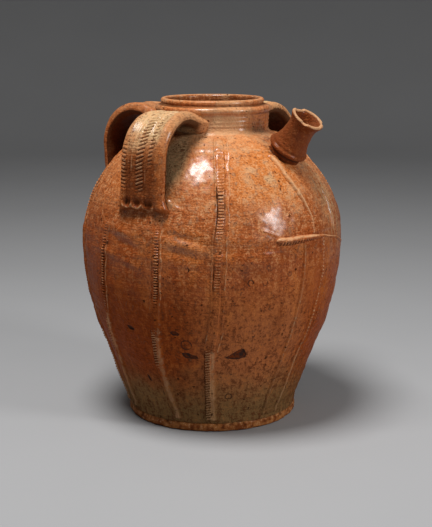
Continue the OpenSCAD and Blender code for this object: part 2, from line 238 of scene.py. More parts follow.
# Flaked patches: direction and height of the middle, then the outline across and up
CHIPS = [
    (-42.4, 107, [(-14, -4.7), (2, -7), (12, -5), (13.5, -1), (8.6, 8), (3, 7), (-5, 1)]),
    (-64.9, 105.4, [(-10.5, 3), (-6, -3.5), (3, -4.5), (10.5, -4), (8, 0), (2, 1.5), (-2, 4)]),
    (-71.3, 133.9, [(-6, 1), (-3, -2.6), (4, -2.4), (6, 0), (1, 2.8), (-4, 3)]),
    (-95.3, 134, [(-6, 2.5), (-3, -3), (4, -3.5), (7, -1), (2, 2)]),
    (-35, 129.5, [(-3, 0), (0, -1.2), (3.2, 0), (0, 1.3)]),
    (-20.8, 140.6, [(-2, -0.6), (1, -1.4), (2.2, 0.8), (0, 1.2)]),
    (-12.8, 143.6, [(-1.3, 0), (0, -1.8), (1.3, 0), (0, 2)]),
    (-14.9, 101.8, [(-3.4, -0.6), (0, -1.8), (3, 0.4), (0, 1.4)]),
    (-63, 139, [(-1.8, 0), (0, -1.6), (1.8, 0), (0, 1.6)]),
    (-44, 79.3, [(-2, 0), (0, -1.6), (2.1, 0), (0, 1.5)]),
    (-92, 67, [(-3, 4), (-1, -4), (2.5, -5), (1, 3)]),
    (-35.7, 213.6, [(-3.4, -3.2), (-2.6, -3.8), (3.4, 3.2), (2.6, 3.8)]),
    (52, 150, [(-7, -2), (1, -4), (7, 0), (2, 4)]),
    (108, 96, [(-11, -3), (3, -6), (10, -1), (4, 6), (-5, 3)]),
    (160, 170, [(-5, 0), (0, -4), (6, -1), (1, 4)]),
    (-158, 90, [(-8, -2), (2, -5), (8, 1), (-1, 5)]),
]
# Dents and bulges: direction, height, half width, half height, height and slope
DENTS = [
    (-66, 250, 22, 4.5, -1.9, -0.18), (-64, 240, 26, 5.0, 2.0, -0.22), (-67, 231, 20, 4.0, -1.3, -0.2),
    (-96, 252, 18, 6.0, 1.6, -0.30), (-94, 238, 20, 5.0, -1.5, -0.25), (-104, 225, 16, 5.0, 1.3, -0.2),
    (-90, 216, 18, 4.5, 1.2, -0.3), (-37, 205, 24, 9.0, -1.0, -0.25), (-30, 190, 22, 6.0, 0.8, -0.2),
    (-70, 200, 30, 10.0, 0.8, 0.1), (-28, 300, 20, 14.0, -0.8, 0.1), (-70, 165, 10, 30.0, -0.9, 0),
    (30, 180, 30, 12.0, -0.9, 0.2), (110, 210, 34, 9.0, -1.1, -0.2), (160, 150, 30, 11.0, 1.0, 0.15),
    (-160, 240, 28, 8.0, -1.0, 0.2), (12, 72, 9, 7.0, 1.6, 0), (28, 118, 8, 12.0, 1.5, 0),
    (38, 256, 52, 26.0, 2.8, 0), (36, 318, 40, 20.0, -2.0, 0),
]
# Smears and folds of clay, worn on top, given in the same way
FOLDS = [
    (-76, 291, 10, 2.0, 1.6, -0.46), (-71, 284, 7, 2.2, 1.0, -0.3), (-30, 255, 11, 1.2, 0.9, -0.41),
    (-13, 353.5, 9, 2.2, 1.6, 0.05), (-20, 347, 4.5, 1.3, 1.0, 0), (-17.5, 341.5, 4.5, 1.3, 1.0, 0),
    (-16, 336.5, 4.0, 1.3, 0.9, 0), (-62, 352, 10, 1.4, 0.9, 0), (-60, 345, 12, 1.4, 0.7, 0),
    (104, 289, 10, 2.2, 2.2, 0.5), (194, 290, 9, 2.0, 2.0, 0.4), (-103.3, 112.8, 2, 1.4, 1.5, 0.3),
]


class Wall:
    """The thrown wall's outer face: its outline, and its hand-made relief."""

    def __init__(self, sizes):
        self.sizes = sizes
        self.neck_r = sizes.mouth_r + sizes.neck_wall
        self.shoulder_arc = upright_arc(BELLY_R - self.neck_r, NECK_Z - BELLY_Z)
        self.shoulder_cx = BELLY_R - self.shoulder_arc
        taper_z = FOOT_TOP + sizes.taper_h
        flank_arc = upright_arc(sizes.taper_in, BELLY_Z - taper_z)
        slope = (BELLY_R - sizes.taper_in - sizes.base_r) / sizes.taper_h
        step = 0.5 * MM
        self.z = np.arange(FOOT_TOP, NECK_Z + step, step)
        arc = np.where(self.z > BELLY_Z, self.shoulder_arc, flank_arc)
        rise = np.clip((self.z - BELLY_Z) / arc, -1, 1)
        curve = BELLY_R - arc + arc * np.sqrt(1 - rise * rise)
        sharp = np.where(self.z < taper_z, sizes.base_r + (self.z - FOOT_TOP) * slope, curve)
        reach = 24
        kernel = np.hanning(2 * reach + 1)
        soft = np.convolve(np.pad(sharp, reach, mode="edge"), kernel / kernel.sum(), "valid")
        near = window(self.z, taper_z - 15 * MM, taper_z + 15 * MM, 10 * MM)
        self.r = sharp + near * (soft - sharp)
        self.slope = np.gradient(self.r, step)

    def radius(self, z):
        """Radius of the true outline at heights z."""
        return np.interp(z, self.z, self.r)

    def lay(self, az, z, out):
        """Points that stand out from the wall by out, at directions az and heights z."""
        slope = np.interp(z, self.z, self.slope)
        across = 1 / np.hypot(1, slope)
        turn = np.radians(az)
        r = self.radius(z) + out * across
        return np.stack([r * np.cos(turn), r * np.sin(turn), z - out * across * slope], axis=-1)

    def beside(self, az, z, middle_az, middle_z):
        """Distances across and up, in millimetres, from a place on the wall."""
        turn = (az - middle_az + 180) % 360 - 180
        across = np.radians(turn) * self.radius(middle_z * MM) / MM
        return across, z / MM - middle_z

    def scars(self, az, z):
        """Distance in millimetres from the nearest flaked patch, negative inside it."""
        best = np.full(np.shape(az), UNCHIPPED)
        for middle_az, middle_z, outline in CHIPS:
            across, up = self.beside(az, z, middle_az, middle_z)
            near = (np.abs(across) < 24) & (np.abs(up) < 18)
            best[near] = np.minimum(best[near], outside_distance(across[near], up[near], outline))
        return best

    def pressed(self, az, z, places):
        """Height in millimetres of rounded dents and folds."""
        out = np.zeros(np.shape(az))
        for middle_az, middle_z, half_w, half_h, height, tilt in places:
            across, up = self.beside(az, z, middle_az, middle_z)
            up = up - tilt * across
            out += height * np.exp(-(across / half_w) ** 2 - (up / half_h) ** 2)
        return out

    def relief(self, az, z):
        """How far the hand-made wall stands out from the true outline."""
        sizes = self.sizes
        true = self.lay(az, z, 0)
        turn = np.radians(az)
        height = z / MM
        round_x, round_y = 1.3 * np.cos(turn), 1.3 * np.sin(turn)
        ringed = np.stack([round_x, round_y, height / 5.2 + turn / 6], axis=-1)
        wide = np.stack([round_x, round_y, height / 13], axis=-1)
        calm = 1 - 0.55 * smooth(height, 235, 285)
        out = sizes.ripple * calm * (lumps(ringed, 1, 3) + 0.8 * lumps(wide, 1, 4))
        out += sizes.dent * (lumps(true, 46 * MM, 5) + 0.5 * lumps(true, 17 * MM, 6))
        out += 0.26 * MM * lumps(true, 6 * MM, 7)
        out += MM * self.pressed(az, z, DENTS)
        out += MM * self.pressed(az, z, FOLDS) * (0.75 + 0.6 * lumps(true, 4 * MM, 8))
        out -= sizes.scar_depth * (1 - smooth(self.scars(az, z), -1.4, 0.5))
        ends = smooth(z, FOOT_TOP, FOOT_TOP + 4 * MM) * smooth(z, NECK_Z, NECK_Z - 4 * MM)
        return out * ends + 2.2 * MM * smooth(z, FOOT_TOP + 13 * MM, FOOT_TOP)

    def spout_seat(self):
        """Middle of the spout's seat on the shoulder, and the spout's direction."""
        sweep = math.atan2(NECK_Z - BELLY_Z, self.neck_r - self.shoulder_cx)
        seat = sweep - self.sizes.spout_drop / self.shoulder_arc
        tilt = seat + self.sizes.spout_lean
        at = Vector((self.shoulder_cx + self.shoulder_arc * math.cos(seat), 0,
                     BELLY_Z + self.shoulder_arc * math.sin(seat)))
        return at, Vector((math.cos(tilt), 0, math.sin(tilt)))


def points_of(piece):
    """The piece's vertices as an array."""
    flat = np.empty(len(piece.data.vertices) * 3)
    piece.data.vertices.foreach_get("co", flat)
    return flat.reshape(-1, 3)


def round_axis(points):
    """Distances of points from the axis, and their directions in degrees."""
    return np.hypot(points[:, 0], points[:, 1]), np.degrees(np.arctan2(points[:, 1], points[:, 0]))


def push_out(points, r, out):
    """Moves points that lie r from the axis further out, by out in millimetres."""
    points[:, :2] *= (1 + MM * out / r)[:, None]


def shape(piece, points):
    """Moves the piece's vertices to the points."""
    piece.data.vertices.foreach_set("co", np.asarray(points, float).ravel())
    piece.data.update()


def mark(piece, relief, scar=UNCHIPPED, tint=1.0):
    """Keeps for the glaze each vertex's wear, sinking, painted light and shade, chip nearness and tint."""
    for name, values in (("relief", relief), ("scar", scar), ("tint", tint)):
        layer = piece.data.attributes.new(name, "FLOAT", "POINT")
        every = np.broadcast_to(values, len(piece.data.vertices)).astype(np.float32)
        layer.data.foreach_set("value", every)


def name_new(name):
    """Names the object that has just been added."""
    piece = bpy.context.object
    piece.name = name
    piece.data.name = name
    return piece


def pick(piece):
    """Makes the piece the active one, and the only one that is selected."""
    bpy.ops.object.select_all(action="DESELECT")
    piece.select_set(True)
    bpy.context.view_layer.objects.active = piece


def thrown(name, outline, steps):
    """A piece turned on the wheel: a closed outline of radii and heights, swept round the axis."""
    bpy.ops.mesh.primitive_circle_add(vertices=len(outline), radius=1)
    piece = name_new(name)
    shape(piece, [(r, 0, z) for r, z in outline])
    turn = piece.modifiers.new("Turn", "SCREW")
    turn.axis = "Z"
    turn.angle = math.tau
    turn.steps = turn.render_steps = steps
    turn.use_merge_vertices = True
    turn.merge_threshold = WELD
    bpy.ops.object.modifier_apply(modifier=turn.name)
    return piece


def rolled(name, across, along):
    """A rolled sheet of clay, with each vertex's column, from 0, and its share along."""
    bpy.ops.mesh.primitive_grid_add(x_subdivisions=across, y_subdivisions=along, size=1)
    piece = name_new(name)
    flat = points_of(piece)
    return piece, np.rint((flat[:, 0] + 0.5) * across).astype(int), flat[:, 1] + 0.5


def strip(name, columns, rows):
    """A rolled strip: each vertex's place across, from -1 to 1, its share along, and the underside."""
    piece, column, share = rolled(name, columns + 2, rows)
    across = np.clip((column - 1) / columns * 2 - 1, -1, 1)
    return piece, across, share, (column == 0) | (column == columns + 2)


def copied(piece, name):
    """A copy of a piece, with a mesh of its own."""
    pick(piece)
    bpy.ops.object.duplicate(linked=False)
    return name_new(name)


def finish(piece, glaze, slot, *nodes):
    """Closes the seams and ends, turns the faces outwards, glazes the piece and hangs it on the frame."""
    pick(piece)
    bpy.ops.object.mode_set(mode="EDIT")
    bpy.ops.mesh.select_all(action="SELECT")
    bpy.ops.mesh.remove_doubles(threshold=WELD)
    bpy.ops.mesh.fill_holes(sides=0)
    bpy.ops.mesh.select_all(action="SELECT")
    bpy.ops.mesh.normals_make_consistent(inside=False)
    bpy.ops.object.mode_set(mode="OBJECT")
    bpy.ops.object.shade_smooth_by_angle(angle=math.radians(40))
    piece.data.materials.clear()
    piece.data.materials.append(glaze)
    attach(piece, "root")
    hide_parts(*nodes)


def press_on(wall, piece, node, glaze, az, z, out, under, worn, sunk=1.6):
    """Presses a strip onto the wall, with its face out by millimetres and its underside sunk."""
    out[under] = -sunk
    shape(piece, wall.lay(az, z, wall.relief(az, z) + out * MM))
    mark(piece, worn)
    finish(piece, glaze, "band_glaze", node)


class Value:
    """A value in a material, on which Python's arithmetic adds Math nodes."""

    def __init__(self, recipe, socket):
        self.recipe = recipe
        self.socket = socket

    def math(self, operation, *values):
        """The result of a Math node with these values."""
        return self.recipe.node("ShaderNodeMath", {"operation": operation}, dict(enumerate(values)))

    def __add__(self, other):
        return self.math("ADD", self, other)

    def __radd__(self, other):
        return self.math("ADD", other, self)

    def __sub__(self, other):
        return self.math("SUBTRACT", self, other)

    def __rsub__(self, other):
        return self.math("SUBTRACT", other, self)

    def __mul__(self, other):
        return self.math("MULTIPLY", self, other)

    def __rmul__(self, other):
        return self.math("MULTIPLY", other, self)

    def __truediv__(self, other):
        return self.math("DIVIDE", self, other)

    def __abs__(self):
        return self.math("ABSOLUTE", self)

    def at_least(self, other):
        return self.math("MAXIMUM", self, other)

    def at_most(self, other):
        return self.math("MINIMUM", self, other)

    def fade(self, low, high):
        """A soft step from 0 at low to 1 at high."""
        if low > high:
            return 1 - self.fade(high, low)
        return self.recipe.node("ShaderNodeMapRange", {"interpolation_type": "SMOOTHSTEP"},
                                {"Value": self, "From Min": low, "From Max": high})

    def bell(self, middle, half):
        """A soft peak of height 1."""
        return abs(self - middle).fade(half, 0)


class Recipe:
    """One material's nodes, and its colour so far."""

    def __init__(self, name):
        self.base = None
        self.material = bpy.data.materials.new(name)
        self.material.use_nodes = True
        self.tree = self.material.node_tree
        self.tree.nodes.clear()

    def node(self, kind, settings=None, inputs=None, output=0):
        """Adds a node: its settings first, then the values or links of its sockets."""
        node = self.tree.nodes.new(kind)
        for key, value in (settings or {}).items():
            setattr(node, key, value)
        for key, value in (inputs or {}).items():
            if isinstance(value, Value):
                self.tree.links.new(value.socket, node.inputs[key])
            else:
                node.inputs[key].default_value = value
        return Value(self, node.outputs[output]) if node.outputs else None

    def place(self):
        """Coordinates on the piece, in the jug's own frame."""
        return self.node("ShaderNodeTexCoord", None, None, 3)

    def part(self, vector, index):
        """One part of a vector: 0, 1 or 2."""
        return self.node("ShaderNodeSeparateXYZ", None, {"Vector": vector}, index)

    def mix(self, first, second, share):
        """Colour that goes from first to second."""
        first, second = (c if isinstance(c, Value) else (*c, 1) for c in (first, second))
        return self.node("ShaderNodeMix", {"data_type": "RGBA"}, {0: share, 6: first, 7: second}, 2)

    def over(self, colour, share):
        """Lays a colour over what is there, by its share."""
        self.base = self.mix(self.base, colour, share)

    def noise(self, at, size, detail):
        """Cloudy noise from 0 to 1, in blots about size across."""
        return self.node("ShaderNodeTexNoise", None, {"Vector": at, "Scale": 1 / size, "Detail": detail})

    def stretched(self, at, scale):
        """Coordinates drawn out along the axes."""
        return self.node("ShaderNodeVectorMath", {"operation": "MULTIPLY"}, {0: at, 1: scale})

    def attribute(self, name):
        """A number kept for each vertex."""
        return self.node("ShaderNodeAttribute", {"attribute_name": name}, None, 2)

    def surface(self, roughness, height, depth, coat):
        """The finished clay or glaze, with its fine relief."""
        bump = self.node("ShaderNodeBump", None, {"Strength": 1, "Distance": depth, "Height": height})
        skin = self.node("ShaderNodeBsdfPrincipled", None, {
            "Base Color": self.base, "Roughness": roughness, "Normal": bump, "Specular IOR Level": 0.02,
            "Coat Weight": coat, "Coat Roughness": 0.22, "Coat IOR": 1.6})
        self.node("ShaderNodeOutputMaterial", None, {"Surface": skin})
        return self.material


# Rings left by bubbles and grit in the kiln: direction, height, radius and how dark
KILN_RINGS = [
    (-66.3, 119.8, 6.2, 0.9), (-38, 197.5, 3.4, 1.0), (-31.6, 196.7, 3.0, 0.6), (-30.4, 214.9, 2.4, 0.5),
    (-19.9, 204, 2.4, 0.5), (-44.4, 48.9, 3.8, 0.9), (-99, 196, 3.0, 0.5), (75, 200, 3.6, 0.8),
]


class LeadGlaze(Recipe):
    """Pitted lead glaze over red clay: orange above, red-brown below, olive over the foot."""

    def __init__(self, name, colours, amber_share, umber_share, dusk_z, shade_share):
        super().__init__(name)
        self.colours = colours
        self.amber_share, self.umber_share = amber_share, umber_share
        self.dusk_z, self.shade_share = dusk_z, shade_share
        at = self.at = self.place()
        self.x, self.y, z = (self.part(at, index) for index in range(3))
        turn = self.node("ShaderNodeMath", {"operation": "ARCTAN2"}, {0: self.y, 1: self.x})
        self.az = turn * (180 / math.pi)
        self.height = z / MM
        self.blots = self.noise(at, 60 * MM, 3)
        self.clouds = self.noise(at, 21 * MM, 4)
        self.mottle = self.noise(at, 5 * MM, 5)
        self.grain = self.noise(at, 1.9 * MM, 2)
        self.runs = self.noise(self.stretched(at, (1, 1, 0.12)), 5 * MM, 4)
        self.rings = self.noise(self.stretched(at, (0.1, 0.1, 1)), 1.8 * MM, 2)
        self.relief = self.attribute("relief")
        self.tint = self.attribute("tint")
        self.level = self.height + 80 * (self.blots - 0.5) + 60 * (self.clouds - 0.5)

    def fired(self, wall):
        """The whole glaze, layer over layer, for a jug with that wall."""
        self.ground()
        self.paint_handle_shade()
        self.tinges()
        self.flames()
        self.speckle()
        self.wear()
        self.flaws(wall)
        return self.gloss()

    def ground(self):
        """Red-brown flanks, an orange shoulder and olive over the foot."""
        colours, az, height, clouds = self.colours, self.az, self.height, self.clouds
        self.base = self.mix(colours.low, colours.russet, az.bell(-34, 44).fade(0, 0.6))
        self.over(colours.middle, self.level.fade(120, 240))
        self.over(colours.top, self.level.fade(210, 330))
        lit = az.bell(-28, 42) * height.bell(322, 92) * (0.36 + 1.1 * clouds)
        glow = clouds.fade(0.5, 0.66) * self.level.fade(130, 260) * 0.5
        warm = az.bell(-63, 22) * height.bell(240, 34) * 0.55
        self.over(colours.orange, lit.fade(0.15, 0.7).at_least(glow).at_least(warm))
        self.olive = (height + 50 * (self.blots - 0.5) + 36 * (clouds - 0.5)).fade(104, 28)
        self.over(colours.olive, self.olive)
        # Painted shade: umber darkens the right flank and its shoulder.
        self.over(colours.umber, az.bell(40, 38) * height.fade(330, 240) * 0.65)

    def paint_handle_shade(self):
        """Painted shade: olive-green on the shoulder where each handle shades it, and where the glaze is
        dull.
        """
        az, height = self.az, self.height
        near = az.bell(HANDLES["right"] + 7, 16)
        turn = (HANDLES["back"] + HANDLES["left"]) / 2
        beside = abs(abs(abs(az) - turn) - (HANDLES["back"] - turn))
        shade = near.at_least(0.36 * beside.fade(18, 0)) * height.bell(332, 46)
        shade = shade.fade(0.1, 0.6) * self.shade_share
        unseen = beside.fade(36, 16) * height.fade(284, 304) * (1 - az.bell(-52, 44))
        self.sheltered = shade.at_least(unseen * self.shade_share)
        self.shade = shade
        painted_shade_green = self.mix(self.colours.olive, self.colours.amber, 0.3 + 0.5 * self.runs)
        self.over(painted_shade_green, shade * 0.9)

    def tinges(self):
        """Umber low on the handles, amber on their tops and by the spout, russet on the neck."""
        colours, az, height, clouds = self.colours, self.az, self.height, self.clouds
        self.dusk = self.umber_share * self.tint * height.fade(self.dusk_z, self.dusk_z - 52)
        self.dusk = self.dusk * (0.7 + 0.6 * clouds)
        self.over(colours.umber, self.dusk.at_most(0.95))
        by_spout = az.bell(14, 17) * height.bell(276, 100) * self.runs.fade(0.40, 0.6) * 0.75
        by_strap = az.bell(-24, 20) * height.bell(318, 44) * clouds.fade(0.5, 0.66) * 0.6
        by_neck = (height.fade(335, 372) * 0.3 + height.bell(373, 22) * 0.4) * clouds.fade(0.44, 0.62)
        behind = abs(az).fade(120, 150)
        on_top = self.amber_share * self.tint * (height + 50 * (clouds - 0.5)).fade(340, 380)
        on_top = on_top * (1 - 0.55 * behind)
        tinged = (by_spout + by_strap + by_neck) * (1 - self.umber_share) + on_top
        self.over(colours.amber, tinged.at_most(0.88))
        self.over(colours.middle, self.amber_share * behind * 0.5)
        self.collar = height.bell(382, 28) * self.shade_share
        self.over(colours.russet, self.collar * 0.3)
        # Painted shade: umber darkens the bore inside the mouth.
        inside = (self.x * self.x + self.y * self.y).fade((61 * MM) ** 2, (57 * MM) ** 2)
        self.over(colours.umber, inside * height.fade(340, 350) * self.shade_share * 0.7)

    def flames(self):
        """Marks of the flame: a browner patch over the widest line, and licks of orange and umber."""
        ashen = self.blots.fade(0.46, 0.6) * self.az.bell(-35, 40) * self.height.bell(268, 44)
        self.over(self.colours.russet, ashen * 0.7)
        licks = self.noise(self.stretched(self.at, (1, 1, 0.4)), 24 * MM, 3)
        licked = self.height.bell(190, 130) * (1 - self.umber_share)
        self.over(self.colours.orange, licks.fade(0.54, 0.66) * licked * 0.36)
        self.over(self.colours.umber, licks.fade(0.46, 0.34) * licked * 0.5)

    def speckle(self):
        """Dark stain and thin pale glaze in grains and streaks, redder on both flanks."""
        colours, az, height = self.colours, self.az, self.height
        clouds, mottle, grain = self.clouds, self.mottle, self.grain
        tone = 0.34 * mottle.fade(0.36, 0.64) + 0.34 * grain.fade(0.34, 0.66) + 0.1 * clouds.fade(0.3, 0.7)
        tone = tone + (0.2 + 0.13 * height.fade(190, 60)) * self.runs.fade(0.35, 0.65)
        tone = tone + 0.12 * self.rings.fade(0.34, 0.66)
        stain = self.mix(colours.umber, colours.dark, height.fade(260, 120) * 0.6)
        self.over(stain, tone.fade(0.54, 0.98) * (0.76 + 0.14 * height.fade(110, 200)))
        thin = tone.fade(0.56, 0.12) * (1 - 0.8 * self.dusk).at_least(0) * (1 - 0.6 * self.olive)
        self.over(colours.orange, thin * 0.45)
        covered = (1 - 0.5 * self.collar) * (1 - 0.55 * self.umber_share)
        self.over(colours.pale, thin * height.fade(130, 300) * 0.55 * covered)
        reddened = (0.55 * az.bell(-114, 60) + 0.34 * az.bell(16, 30)) * height.fade(300, 225)
        self.over(colours.low, reddened * (1 - self.olive))
        flushed = az.bell(-4, 13) * height.bell(186, 66) * clouds.fade(0.3, 0.6)
        self.over(colours.middle, flushed * (1 - self.umber_share) * 0.6)
        # Painted light: pale lifts the front of the neck, its flange and its lip.
        self.over(colours.pale, height.bell(369, 38) * az.bell(-45, 64) * self.shade_share * 0.46)
        scuffs = (0.5 * clouds + 0.5 * mottle).fade(0.5, 0.62) * height.fade(205, 290)
        scuffs = scuffs * (1 - 0.85 * self.dusk).at_least(0) * (0.35 + 0.65 * az.fade(-95, -62))
        self.over(colours.pale, scuffs * 0.45 * (1 - self.shade) * covered)

    def wear(self):
        """Worn pale ridges and dark pooled grooves; the same marks paint light and shade."""
        worn = (self.relief + 0.7 * (self.mottle - 0.5) + 0.4 * (self.grain - 0.5)).fade(0.58, 0.95)
        self.over(self.colours.pale, worn * (0.32 + 0.34 * self.height.fade(60, 170)))
        pooled_and_shade = (self.relief + 0.3 * (self.mottle - 0.5)).fade(0.42, 0.1)
        self.over(self.colours.dark, pooled_and_shade * 0.9)
        self.dull = worn + pooled_and_shade + self.olive + self.dusk

    def flaws(self, wall):
        """Pits and specks, the rings of the kiln and the flaked patches."""
        colours, clouds, mottle = self.colours, self.clouds, self.mottle
        pits = self.noise(self.at, 2.5 * MM, 1).fade(0.70, 0.77) * clouds.fade(0.36, 0.58)
        specks = pits.at_least(self.noise(self.at, 6.2 * MM, 1).fade(0.735, 0.765))
        self.over(self.mix(colours.dark, colours.umber, self.height.fade(190, 290) * 0.6), specks * 0.9)
        ring = None
        for ring_az, ring_z, ring_r, strength in KILN_RINGS:
            ends = {0: self.at, 1: tuple(wall.lay(ring_az, ring_z * MM, 0))}
            gap = self.node("ShaderNodeVectorMath", {"operation": "DISTANCE"}, ends, 1) / MM
            line = abs(gap - ring_r + 2.4 * (mottle - 0.5)).fade(1.0, 0.4) * strength
            ring = line if ring is None else ring.at_least(line)
        ring = ring * (clouds + mottle).fade(0.66, 0.92)
        self.over(colours.scar, ring * 0.8)
        edge = self.attribute("scar") + 2.0 * (mottle - 0.5)
        flaked = edge.fade(0.4, -0.4)
        bared = edge.fade(-0.4, -2.2) * (clouds + mottle).fade(0.8, 1.15)
        self.over(self.mix(colours.scar, colours.umber, bared), flaked)
        self.dull = self.dull + flaked + specks
        self.sunk = specks + 0.7 * ring

    def gloss(self):
        """The finished material, glossiest high on the lit side, and dull where worn or sheltered."""
        az, height, clouds, mottle, grain = self.az, self.height, self.clouds, self.mottle, self.grain
        bright = self.level.fade(155, 305) * clouds.fade(0.26, 0.5)
        bright = bright * (1 - 0.85 * az.bell(-142, 46)) * (1 - 0.7 * az.bell(40, 40))
        bright = bright.at_least(0.9 * height.bell(387, 16))
        dull = self.dull.at_most(1)
        pitted = 0.46 + 0.54 * (0.55 * grain + 0.45 * mottle).fade(0.36, 0.54)
        coat = self.colours.coat * (0.02 + 0.98 * bright * pitted) * (1 - 0.85 * dull)
        coat = coat * (1 - self.sheltered) * (1 - 0.6 * self.amber_share) * (1 - 0.35 * az.bell(-16, 24))
        flange = 0.8 * height.bell(388, 13) * az.bell(-68, 44) * self.shade_share
        rough = self.colours.gloss + 0.4 * (clouds - 0.5) + 0.25 * dull + 0.6 * self.sheltered
        fine = mottle + 0.6 * grain + 0.3 * self.runs + 0.4 * self.rings - self.sunk
        rough = rough.at_least(0.15).at_most(1)
        return self.surface(rough, fine, 1.5 * MM, coat.at_least(flange * pitted))


def bare_clay(name, colours):
    """Unglazed red clay of the foot, rough, scuffed and stained."""
    mix = Recipe(name)
    at = mix.place()
    height = mix.part(at, 2) / MM
    clouds = mix.noise(at, 16 * MM, 4)
    mottle = mix.noise(at, 5 * MM, 4)
    grain = mix.noise(at, 1.4 * MM, 2)
    relief = mix.attribute("relief")
    stain = (clouds + 0.6 * (mottle - 0.5)).fade(0.42, 0.66)
    mix.base = mix.mix(colours.bare, colours.umber, stain * 0.8)
    mix.over(colours.pale, (mottle * 0.5 + grain * 0.5).fade(0.47, 0.34) * 0.55)
    mix.over(colours.dark, mottle.fade(0.55, 0.72) * 0.7)
    top_edge = (height + 7 * (clouds - 0.5)).fade(9, 13)
    mix.over(colours.olive, top_edge * 0.6)
    low_edge = (height + 2 * (mottle - 0.5)).fade(2.4, 0.4)
    mix.over(colours.dark, (low_edge * 0.7 + relief.fade(0.4, 0.1) * 0.6).at_most(0.9))
    return mix.surface(0.62 + 0.3 * (clouds - 0.5), 0.7 * mottle + 0.5 * grain, 0.9 * MM, 0.05)


# Shares of amber and of umber in each glaze, the height by which the umber has faded, and the
# share of the body's own marks: dull glaze and painted shade behind the handles, painted shade in
# the mouth, painted light on the neck, and the neck's russet and gloss
TINTS = {
    "body_glaze": (0, 0, 352, 1), "handle_glaze": (0.95, 0.8, 374, 0),
    "band_glaze": (0.2, 0.1, 352, 0), "spout_glaze": (0, 0.95, 480, 0),
}


def glaze_for(context, kind):
    """The shared material of that kind, made once."""
    name = f"fired_{kind}"
    found = bpy.data.materials.get(name)
    if found:
        return found
    colours = context.scene.jug_glaze
    if kind == "foot_clay":
        return bare_clay(name, colours)
    return LeadGlaze(name, colours, *TINTS[kind]).fired(Wall(context.scene.jug_sizes))


class JUG_OT_turn_foot(bpy.types.Operator):
    """Turn the floor slab, with its rough rolled edge"""

    bl_idname = "jug.turn_foot"
    bl_label = "Turn the Foot"

    def execute(self, context):
        edge = 3.5 * MM
        flat = FOOT_R - edge
        outline = [(0, 0), (flat * 0.5, 0), (flat * 0.9, 0)]
        outline += arc_points(flat, edge, edge, -90, 0, 9)
        outline += [(FOOT_R, z) for z in np.linspace(edge, FOOT_TOP - edge, 6)[1:-1]]
        outline += arc_points(flat, FOOT_TOP - edge, edge, 0, 90, 9)
        outline += [(flat * 0.9, FOOT_TOP), (0, FOOT_TOP)]
        piece = thrown("foot_slab", outline, STEPS["foot"])
        co = points_of(piece)
        r = round_axis(co)[0]
        rim = smooth(r, flat * 0.96, flat)
        ragged = 0.9 * lumps(co, 14 * MM, 21) + 0.5 * lumps(co, 5 * MM, 22) - 0.4
        nicks = smooth(lumps(co, 9 * MM, 23), 0.45, 0.85)
        push_out(co, np.maximum(r, 10 * MM), rim * (ragged - 1.6 * nicks))
        droop = rim * smooth(co[:, 2], 6 * MM, FOOT_TOP) * MM
        co[:, 2] += droop * (0.9 * lumps(co, 22 * MM, 24) - 0.3)
        shape(piece, co)
        mark(piece, EVEN - 0.45 * nicks * rim)
        finish(piece, glaze_for(context, "foot_clay"), "foot_clay", "floor_slab")
        return {"FINISHED"}


class JUG_OT_throw_walls(bpy.types.Operator):
    """Throw the lower wall and the shoulder, with their rings, dents, folds and chips"""

    bl_idname = "jug.throw_walls"
    bl_label = "Throw the Walls"

    def execute(self, context):
        wall = Wall(context.scene.jug_sizes)
        glaze = glaze_for(context, "body_glaze")
        lower = self.length_of_wall(wall, "thrown_lower_wall", FOOT_TOP, BELLY_Z, 132)
        finish(lower, glaze, "body_glaze", "lower_wall")
        shoulder = self.length_of_wall(wall, "thrown_shoulder", BELLY_Z, NECK_Z, 110)
        self.pierce(shoulder, wall)
        finish(shoulder, glaze, "body_glaze", "shoulder_wall")
        return {"FINISHED"}

    def length_of_wall(self, wall, name, low, high, rows):
        """One thrown length, with its outer face worked by hand."""
        thick = wall.sizes.wall
        outer = [(wall.radius(z), z) for z in np.linspace(low, high, rows + 1)]
        inner = []
        for z in np.linspace(high, low, 24):
            slope = np.interp(z, wall.z, wall.slope)
            inner.append((max(wall.radius(z) - thick * math.hypot(1, slope), wall.sizes.mouth_r), z))
        piece = thrown(name, outer + inner, STEPS["wall"])
        co = points_of(piece)
        r, az = round_axis(co)
        outside = r > wall.radius(co[:, 2]) - thick / 2
        az, z = az[outside], co[outside, 2]
        co[outside] = wall.lay(az, z, wall.relief(az, z))
        shape(piece, co)
        scar = np.full(len(co), UNCHIPPED)
        scar[outside] = wall.scars(az, z)
        worn = np.full(len(co), EVEN)
        worn[outside] += 0.16 * wall.pressed(az, z, FOLDS)
        mark(piece, worn, scar)
        return piece

    def pierce(self, piece, wall):
        """Opens the hole that the spout pours from."""
        at, along = wall.spout_seat()
        bpy.ops.mesh.primitive_cylinder_add(
            vertices=64, radius=SPOUT_BORE_R, depth=80 * MM, location=at,
            rotation=along.to_track_quat("Z", "Y").to_euler())
        punch = bpy.context.object
        cut = piece.modifiers.new("Spout hole", "BOOLEAN")
        cut.operation = "DIFFERENCE"
        cut.solver = "EXACT"
        cut.object = punch
        bpy.context.view_layer.objects.active = piece
        bpy.ops.object.modifier_apply(modifier=cut.name)
        bpy.data.objects.remove(punch)


